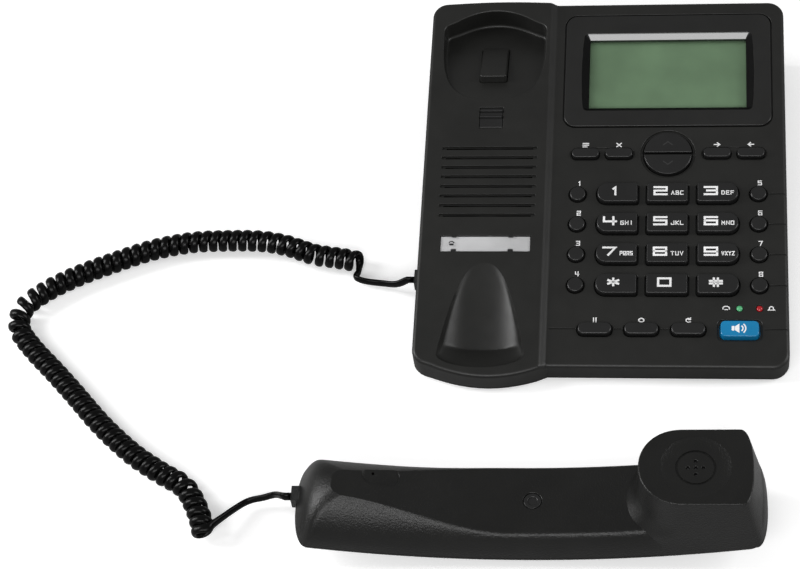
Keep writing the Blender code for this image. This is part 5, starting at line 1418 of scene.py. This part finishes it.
@dataclass
class Handset:
    """The handset: an arched grip in two shells, the ear cup on it and its small parts."""

    dresser: Dresser
    length: float = 214 * MM
    width: float = 43 * MM
    arch: float = 12 * MM
    skin: float = 2 * MM
    back_height: float = 6 * MM
    face_height: float = 15 * MM
    mouth_end: Pair = (6.5 * MM, 2.3)
    ear_end: Pair = (8 * MM, 2.6)
    flank: Pair = (5.5 * MM, 15 * MM)
    mouth_rise: float = 9 * MM
    face_reach: Pair = (15 * MM, 5 * MM)
    back_reach: Pair = (7.5 * MM, 7.5 * MM)
    back_flank: float = 10 * MM
    cup_top: float = 50 * MM
    cup_length: float = 50.5 * MM
    cup_width: float = 39 * MM
    cup_set_back: float = 6.5 * MM
    cup_flare: float = 7 * MM
    cup_fillet: float = 11 * MM
    cup_side_flare: float = 2.3 * MM
    cup_end_flare: float = 6.9 * MM
    cup_end_depth: float = 5.5 * MM
    dish_radius: float = 16 * MM
    dish_depth: float = 1.1 * MM
    hole_pitch: float = 3.4 * MM
    mic: Pair = (-70 * MM, 7 * MM)
    screw_x: float = 2 * MM
    screw_radius: float = 4 * MM
    socket: Triple = (25.9 * MM, 7.93 * MM, 0.43 * MM)
    socket_half: float = 3.61 * MM
    socket_y: float = 4 * MM

    def lift(self, x: float) -> float:
        """Returns how far the underside has left the desk at x."""
        return self.arch * (x / (self.length / 2)) ** 2

    def towards_mouth(self, x: float) -> float:
        """Returns a smooth share, from 0 mid-grip to 1 at the mouth end."""
        share = min(max((-x - 8 * MM) / (80 * MM), 0.0), 1.0)
        return share * share * (3 - 2 * share)

    def top_at(self, x: float) -> float:
        """Returns the height of the grip's top at x."""
        return self.back_height + self.face_height + self.lift(x) + self.mouth_rise * self.towards_mouth(x)

    def half_plan(self, left: float, right: float, half: float, depths: Pair,
                  powers: Pair, turns: int = 14, spans: int = 40) -> Outline:
        """Returns half of a long plan, tip to tip.

        Args:
            left: the left tip.
            right: the right tip.
            half: half the width.
            depths: how long the left and right ends are.
            powers: how square the left and right ends are.
            turns: how many stretches each end has.
            spans: how many stretches the straight part has.
        """
        def tip(at: float, depth: float, power: float, angles: np.ndarray) -> Outline:
            return [(at + depth * (1 - math.cos(angle) ** (2 / power)),
                     half * max(math.sin(angle), 0.0) ** (2 / power)) for angle in angles]
        middle = np.linspace(left + depths[0], right - depths[1], spans + 1)[1:-1]
        return (tip(left, depths[0], powers[0], np.linspace(0, QUARTER, turns + 1))
                + [(x, half) for x in middle]
                + tip(right, -depths[1], powers[1], np.linspace(QUARTER, 0, turns + 1)))

    def loft(self, name: str, rings: Sequence[Sequence[Triple]]) -> Piece:
        """Returns a body from half rings, whose ends are strips between its two sides."""
        mesh = bmesh.new()
        loops = []
        for half in rings:
            near = [mesh.verts.new((x, -y, z)) for x, y, z in half]
            far = [mesh.verts.new((x, y, z)) for x, y, z in half[1:-1]]
            loops.append(near + far[::-1])
        count = len(loops[0])
        for low, high in zip(loops, loops[1:]):
            for i in range(count):
                j = (i + 1) % count
                mesh.faces.new((low[i], low[j], high[j], high[i]))
        for loop in (loops[0], loops[-1]):
            for i in range(len(rings[0]) - 1):
                strip = [loop[i], loop[i + 1], loop[(count - i - 1) % count], loop[(count - i) % count]]
                mesh.faces.new(list(dict.fromkeys(strip)))
        return new_object(name, mesh)

    def shell(self, name: str, upper: bool, skin: float) -> Piece:
        """Returns one half of the grip, or the space inside it.

        Args:
            name: the object's name.
            upper: the half with the ear cup, in place of the back.
            skin: how far its surface lies inside the grip's.
        """
        rings = []
        shares = np.sin(np.linspace(0, QUARTER, 12))
        foot = self.back_height if upper else 0.0
        height = self.face_height if upper else self.back_height - 0.3 * MM
        rise = self.mouth_rise if upper else 0.0
        reach = self.face_reach if upper else self.back_reach
        for i, share in enumerate(shares if upper else 1 - shares[::-1]):
            up = float(share)
            out = up if upper else 1 - up
            side = 1 - math.sqrt(max(1 - out ** 2, 0.0))
            mouth = 0.75 * out + 0.52 * out ** 6 if upper else side
            z = foot + height * up
            if skin:
                z = foot + skin + (height - 2 * skin) * up if upper else skin + (height - skin) * up
                if upper and i == 0:
                    z = foot - OVERRUN
                if not upper and i == len(shares) - 1:
                    z = height + OVERRUN
            left = -self.length / 2 + mouth * reach[0] + skin
            right = self.length / 2 - side * reach[1] - skin
            half = self.width / 2 - skin
            plan = self.half_plan(left, right, half, (self.mouth_end[0], self.ear_end[0]),
                                  (self.mouth_end[1], self.ear_end[1]))
            rings.append([(x, y * (1 - self.flank_at(x, side, out, upper) / half),
                           z + self.lift(x) + rise * self.towards_mouth(x) * up) for x, y in plan])
        return self.loft(name, rings)

    def flank_at(self, x: float, round_side: float, out: float, upper: bool) -> float:
        """Returns how far the flank has come in: a round shoulder mid-grip, a slant at the mouth end."""
        if not upper:
            return self.back_flank * round_side
        share = self.towards_mouth(x)
        slanted = out ** 2.2
        return (1 - share) * self.flank[0] * round_side + share * self.flank[1] * slanted

    def cup(self, name: str, skin: float, top: float) -> Piece:
        """Returns the ear cup, or the space inside it: its foot follows the arch."""
        rings = []
        right = self.length / 2 - self.cup_set_back
        foot = self.back_height + 0.3 * MM + skin
        edge = 0.0 if skin else 0.7 * MM
        levels = [(float(up), 0.0) for up in np.linspace(0, 1 - edge / (top - foot), 26)]
        levels += [(1 - down / (top - foot), inward) for inward, down in rounding(edge, 4)[1:] if edge]
        for up, shrink in levels:
            share = 1 - up
            half = self.cup_width / 2 + self.cup_side_flare * share - skin - shrink
            over_grip = max(0.0, foot + (top - foot) * up - self.back_height - self.face_height)
            fillet = max(0.0, 1 - over_grip / self.cup_fillet) ** 2
            left = right - self.cup_length - self.cup_flare * (0.35 * share + 0.65 * fillet) + skin + shrink
            end = right + self.cup_end_flare * share - skin - shrink
            plan = self.half_plan(left, end, half, (half, self.cup_end_depth), (2.1, 2.3), 16, 12)
            rings.append([(x, y, (foot + self.lift(x)) * (1 - up) + top * up) for x, y in plan])
        return self.loft(name, rings)

    def holes(self) -> list[Rings]:
        """Returns the cutters of the cup's dish, ring and holes, the microphone's recess and the screw."""
        cup_x = self.length / 2 - self.cup_set_back - self.cup_length / 2
        top = self.cup_top
        floor = top - self.dish_depth
        dish = [ring(circle(self.dish_radius * share, 72, cup_x), top - self.dish_depth * (1 - share ** 5))
                for share in (0.05, 0.3, 0.5, 0.65, 0.75, 0.83, 0.9, 0.95, 0.98)]
        bodies = [dish + [ring(circle(self.dish_radius + 0.6 * MM, 72, cup_x), top + OVERRUN)]]
        for radius, deep in ((9.0 * MM, 0.55 * MM), (8.0 * MM, 5 * MM)):
            bodies.append(prism(circle(radius, 64, cup_x), floor - deep, top - 0.5 * MM))
        for x, y in ((0, 0), (1, 0), (-1, 0), (0, 1), (0, -1)):
            hole = disc(0.8 * MM, 20, cup_x + x * self.hole_pitch, y * self.hole_pitch)
            bodies.append(mouth_rings(hole, floor, top - 5 * MM, 0.25 * MM))
        dent = []
        for share, up in ((0.3, -0.9), (0.85, -0.85), (0.95, -0.6), (1.0, 0.05), (1.15, 2.0)):
            oval = [(self.mic[0] + 3.6 * MM + u * share, self.mic[1] - 0.8 * MM + v * share)
                    for u, v in rounded_box(17 * MM, 10.4 * MM, 5.1 * MM, steps=10)]
            dent.append(np.array([(x, y, self.top_at(x) + up * MM) for x, y in oval]))
        mic_top = self.top_at(self.mic[0])
        bodies += [dent, prism(circle(0.7 * MM, 20, *self.mic), mic_top - 4 * MM, mic_top + OVERRUN)]
        seat = self.back_height + self.face_height
        screw = disc(self.screw_radius + 0.3 * MM, 40, self.screw_x)
        return bodies + [mouth_rings(screw, seat, seat - 1.5 * MM, 0.3 * MM)]

    def build(self) -> None:
        """Builds both shells and the handset's small parts."""
        finishes = self.dresser.finishes
        face = self.shell("handset_front", True, 0.0)
        combine(face, self.cup("cup", 0.0, self.cup_top), "UNION")
        space = self.shell("front_space", True, self.skin)
        combine(space, self.cup("cup_space", self.skin, self.cup_top - self.dish_depth - self.skin), "UNION")
        combine(face, space)
        bodies = self.holes()
        groove = combine(solid("groove", bodies.pop(1)), solid("core", bodies.pop(1)))
        for body in bodies:
            combine(face, solid("hole", body))
        combine(face, groove)
        back = self.shell("handset_rear", False, 0.0)
        combine(back, self.shell("rear_space", False, self.skin))
        middle = self.lift(-self.length / 2) + self.back_height
        mouth = rounded_box(*self.socket, u=-self.length / 2, v=self.socket_y, steps=2)
        heights = middle - self.socket_half, middle + self.socket_half
        for piece, node in ((face, "handset_face"), (back, "handset_back")):
            combine(piece, solid("socket", prism(mouth, *heights)))
            self.dresser.dress(piece, finishes.handset, "handset", node, place=HANDSET_PLACE)
        top = self.back_height + self.face_height - 0.1 * MM
        plug = solid("screw_plug", cap_rings(disc(self.screw_radius, 40, self.screw_x), top - 1.1 * MM, top,
                                             0.3 * MM))
        dent = mouth_rings(disc(2.1 * MM, 32, self.screw_x), top, top - 0.5 * MM, 0.4 * MM)
        combine(plug, solid("plug_dent", dent))
        self.dresser.dress(plug, finishes.key, "handset", "screw_cap", place=HANDSET_PLACE)


@dataclass
class CurlyCord:
    """The curly cord: one tube from plug to plug, straight at both ends and curled between them."""

    dresser: Dresser
    diameter: float = 3.3 * MM
    wide: float = 4.3 * MM
    coil: float = 12 * MM
    pitch: float = 5 * MM
    points_a_turn: int = 20
    sides: int = 12
    height: float = 6.9 * MM
    follow: float = 0.3
    play: float = 0.3 * MM
    skew: float = 0.07 * MM
    tail_step: float = 1.2 * MM
    route: tuple[Pair, ...] = (
        (-0.0992, 0.0158), (-0.1045, 0.0172), (-0.1120, 0.0186), (-0.1224, 0.0206), (-0.1370, 0.0262),
        (-0.1510, 0.0290), (-0.1690, 0.0292), (-0.1867, 0.0280), (-0.2060, 0.0232), (-0.2248, 0.0152),
        (-0.2430, 0.0062), (-0.2575, -0.0035), (-0.2668, -0.0140), (-0.2668, -0.0265), (-0.2575, -0.0390),
        (-0.2445, -0.0523), (-0.2325, -0.0650), (-0.2150, -0.0840), (-0.1977, -0.0996), (-0.1830, -0.1097),
        (-0.1702, -0.1175), (-0.1632, -0.1275), (-0.1586, -0.1380), (-0.1562, -0.1470))
    base_tail: tuple[Triple, ...] = (
        (-0.0785, 0.0016, 0.0074), (-0.0860, 0.0040, 0.0048), (-0.0950, 0.0058, 0.0042),
        (-0.1000, 0.0085, 0.0036))
    handset_tail: tuple[Triple, ...] = (
        (-0.1505, -0.1374, 0.0098), (-0.1400, -0.1252, 0.0058), (-0.1310, -0.1232, 0.0074),
        (-0.1251, -0.1232, 0.0100))
    axes: list[Vector] = field(default_factory=list)

    @staticmethod
    def smooth(points: Sequence[Sequence[float]], samples: int = 24) -> list[Vector]:
        """Returns closely spaced points of a smooth curve through a route's points."""
        route = [Vector(point) for point in points]
        ends = [2 * route[0] - route[1]] + route + [2 * route[-1] - route[-2]]
        curve = []
        for a, b, c, d in zip(ends, ends[1:], ends[2:], ends[3:]):
            for i in range(samples):
                t = i / samples
                curve.append(0.5 * (2 * b + (c - a) * t + (2 * a - 5 * b + 4 * c - d) * t ** 2
                                    + (3 * b - a - 3 * c + d) * t ** 3))
        return curve + [route[-1]]

    @staticmethod
    def spaced(curve: Sequence[Vector], step: float) -> list[Vector]:
        """Returns points an even step apart along a curve, its two ends included."""
        length = sum((b - a).length for a, b in zip(curve, curve[1:]))
        count = max(2, round(length / step))
        points, walked, wanted = [curve[0]], 0.0, length / count
        for a, b in zip(curve, curve[1:]):
            piece = (b - a).length
            while walked + piece >= wanted and len(points) < count:
                points.append(a.lerp(b, (wanted - walked) / piece))
                wanted += length / count
            walked += piece
        return points + [curve[-1]]

    def curls(self) -> list[Vector]:
        """Returns the points of the curls wound round the route, from under its start to over its end."""
        line = self.spaced(self.smooth([(x, y, self.height) for x, y in self.route]), self.diameter / 8)
        radius = (self.coil - self.diameter) / 2
        turns, turn = [0.0], 0.0
        for a, b, c in zip(line, line[1:], line[2:]):
            bend = (b - a).angle(c - b) / (b - a).length
            turn += (b - a).length / (self.pitch / max(1 - bend * radius, self.pitch / self.coil))
            turns.append(turn)
        turns.append(turn)
        steps = math.floor(turn) * self.points_a_turn - self.points_a_turn // 2
        points, index = [], 0
        for i in range(steps + 1):
            want = i / self.points_a_turn
            while turns[index + 1] < want:
                index += 1
            share = (want - turns[index]) / (turns[index + 1] - turns[index])
            centre = line[index].lerp(line[index + 1], share)
            along = (line[index + 1] - line[index]).normalized()
            side = along.cross(Vector((0, 0, 1))).normalized()
            up = side.cross(along)
            angle = 2 * math.pi * i / self.points_a_turn - QUARTER
            points.append(centre + radius * (side * math.cos(angle) + up * math.sin(angle)))
            self.axes.append(along)
        return points

    def path(self) -> list[Vector]:
        """Returns the whole centreline, from the base's plug to the handset's."""
        def left_of(node: str, out: float) -> Vector:
            low, high = (Vector(corner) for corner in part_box(node))
            return Vector((low.x - out, (low.y + high.y) / 2, (low.z + high.z) / 2))
        start = left_of("plug_base", self.play)
        leave = start - Vector((self.diameter, 0, 0))
        out = HANDSET_PLACE.to_3x3() @ Vector((-1, 0, 0))
        meet = left_of("plug_handset", -self.skew) + out * self.play
        arrive = meet + out * self.diameter
        curls = self.curls()
        before = curls[0] - (curls[1] - curls[0]).normalized() * self.diameter
        after = curls[-1] + (curls[-1] - curls[-2]).normalized() * self.diameter
        first = self.spaced(self.smooth([leave, *self.base_tail, before]), self.tail_step)
        last = self.spaced(self.smooth([after, *self.handset_tail, arrive]), self.tail_step)
        upright = Vector((0, 0, 1))
        self.axes = [upright] * (len(first) + 1) + self.axes + [upright] * (len(last) + 1)
        return [start] + first + curls + last + [meet]

    def tube(self, path: Sequence[Vector]) -> Piece:
        """Returns the flattish cord along a path, its wide side along the axes of its curls."""
        mesh = bmesh.new()
        wide, thin = self.wide / 2, self.diameter ** 2 / self.wide / 2
        turns = np.linspace(0, 2 * math.pi, self.sides, endpoint=False)
        normal = Vector((0, 0, 1))
        rings = []
        for i, here in enumerate(path):
            along = (path[min(i + 1, len(path) - 1)] - path[max(i - 1, 0)]).normalized()
            wish = self.axes[i] - along * self.axes[i].dot(along)
            wish = -wish if wish.dot(normal) < 0 else wish
            normal = normal * (1 - self.follow) + wish * self.follow
            normal = (normal - along * normal.dot(along)).normalized()
            side = along.cross(normal)
            rings.append(np.array([here + wide * normal * math.cos(t) + thin * side * math.sin(t)
                                   for t in turns]))
        add_rings(mesh, rings)
        return new_object("curled_cord", mesh)

    def build(self) -> None:
        finishes = self.dresser.finishes
        path = self.path()
        length = sum((b - a).length for a, b in zip(path, path[1:]))
        LOG.info("cord: %.3f m along its centreline, %d points", length, len(path))
        cord = self.tube(path)
        cord.data.materials.append(self.dresser.material(finishes.cord))
        cord.data.shade_smooth()
        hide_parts("curly_cord", "cord_tail_base", "cord_tail_handset")
        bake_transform(cord)
        for node in ("plug_base", "plug_handset"):
            self.dresser.repaint(node, finishes.connector)
        tuple(path[0])
        [tuple(p) for p in path]


@dataclass
class Studio:
    """The photograph's camera, the pale floor, the lights and the white surroundings."""

    place: Triple = (0.0665, -0.6551, 0.8853)
    right: Triple = (0.99157, 0.07983, -0.10211)
    up: Triple = (-0.00276, 0.80065, 0.59913)
    forward: Triple = (-0.12958, 0.59379, -0.79411)
    lens: float = 100.0
    floor_half: float = 1.6
    floor_glow: float = 0.34
    soft_light: float = 0.26

    def camera(self) -> None:
        """Places the camera as the photograph's was fitted."""
        data = bpy.data.cameras.new("camera")
        data.lens = self.lens
        data.sensor_width = 36.0
        data.clip_start = 0.05
        camera = bpy.data.objects.new("camera", data)
        turned = Matrix((self.right, self.up, tuple(-f for f in self.forward))).transposed()
        camera.matrix_world = Matrix.Translation(self.place) @ turned.to_4x4()
        bpy.context.scene.collection.objects.link(camera)
        bpy.context.scene.camera = camera

    def lamp(self, name: str, place: Sequence[float], target: Sequence[float], size: Pair,
             power: float) -> None:
        """Adds one soft box.

        Args:
            name: the lamp's name.
            place: where it hangs.
            target: what it looks at.
            size: its width and height.
            power: its power in watts.
        """
        data = bpy.data.lights.new(name, "AREA")
        data.shape = "RECTANGLE"
        data.size, data.size_y = size
        data.energy = power
        lamp = bpy.data.objects.new(name, data)
        lamp.location = place
        lamp.rotation_euler = (Vector(target) - Vector(place)).to_track_quat("-Z", "Y").to_euler()
        bpy.context.scene.collection.objects.link(lamp)

    def floor(self) -> None:
        """Lays the pale floor that shows only the object's shadow to the camera."""
        mesh = bmesh.new()
        mesh.faces.new([mesh.verts.new((x * self.floor_half, y * self.floor_half, 0))
                        for x, y in ((-1, -1), (1, -1), (1, 1), (-1, 1))])
        floor = new_object("floor", mesh)
        floor.location.z = -0.0002
        nodes = Nodes("floor_white")
        camera = nodes.add("ShaderNodeLightPath").outputs["Is Camera Ray"]
        seen = nodes.add("ShaderNodeMix", data_type="RGBA")
        nodes.preset(seen, A=(0.4, 0.4, 0.4, 1.0))
        nodes.link(camera, seen.inputs["Factor"])
        nodes.link(nodes.tinted(nodes.noise(3.0), (0.93, 0.93, 0.93), (0.95, 0.95, 0.95)), seen.inputs["B"])
        nodes.link(seen.outputs["Result"], nodes.shader.inputs["Base Color"])
        glow = nodes.add("ShaderNodeMath", operation="MULTIPLY")
        glow.inputs[1].default_value = self.floor_glow
        nodes.link(camera, glow.inputs[0])
        nodes.link(glow.outputs["Value"], nodes.shader.inputs["Emission Strength"])
        nodes.preset(nodes.shader, Emission_Color=WHITE, Roughness=0.9, Specular_IOR_Level=0.1)
        floor.data.materials.append(nodes.material)

    def surroundings(self) -> None:
        """Makes the world white to the camera and a soft grey to every other ray."""
        world = bpy.data.worlds.new("studio")
        world.use_nodes = True
        bpy.context.scene.world = world
        tree = world.node_tree
        tree.nodes.clear()
        path, mix, out = (tree.nodes.new(kind) for kind in (
            "ShaderNodeLightPath", "ShaderNodeMixShader", "ShaderNodeOutputWorld"))
        for i, strength in enumerate((self.soft_light, 1.0)):
            shade = tree.nodes.new("ShaderNodeBackground")
            Nodes.preset(shade, Color=WHITE, Strength=strength)
            tree.links.new(shade.outputs["Background"], mix.inputs[i + 1])
        tree.links.new(path.outputs["Is Camera Ray"], mix.inputs["Fac"])
        tree.links.new(mix.outputs["Shader"], out.inputs["Surface"])

    def build(self) -> None:
        """Sets up everything that isn't the telephone."""
        bpy.context.scene.view_settings.view_transform = "Standard"
        self.camera()
        self.surroundings()
        self.floor()
        middle = (0.0, 0.0, 0.02)
        side = (0.5, 1.2)
        for name, place, size, power in (("front_box", (-0.15, -1.35, 1.15), (1.6, 0.5), 15),
                                         ("left_box", (-1.35, 0.1, 0.8), side, 16),
                                         ("right_box", (1.35, 0.1, 0.8), side, 9)):
            self.lamp(name, place, middle, size, power)


def dress_hidden(dresser: Dresser) -> None:
    """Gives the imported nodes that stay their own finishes."""
    finishes = dresser.finishes
    kept = {"bottom_housing": finishes.housing, "line_jack": finishes.key, "handset_jack": finishes.key,
            "main_board": finishes.board, "keypad_mat": finishes.mat, "loudspeaker": finishes.steel,
            "receiver_capsule": finishes.steel, "microphone_capsule": finishes.steel}
    feet = [f"foot_{end}_{side}" for end in ("front", "back") for side in ("left", "right")]
    kept.update({foot: finishes.rubber for foot in feet})
    for name, finish in kept.items():
        dresser.repaint(name, finish)


def main() -> None:
    """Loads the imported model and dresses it."""
    logging.basicConfig(level=logging.INFO, format="%(name)s: %(message)s")
    FRAME.update(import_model())
    Studio().build()
    dresser = Dresser(Finishes())
    CurlyCord(dresser).build()
    repeater = Repeater("even_row")
    layout = KeyLayout()
    Housing(dresser, repeater, layout).build()
    Display(dresser).build()
    Keypad(dresser, layout).build()
    Cradle(dresser).build()
    Handset(dresser).build()
    dress_hidden(dresser)


if __name__ == "__main__":
    main()
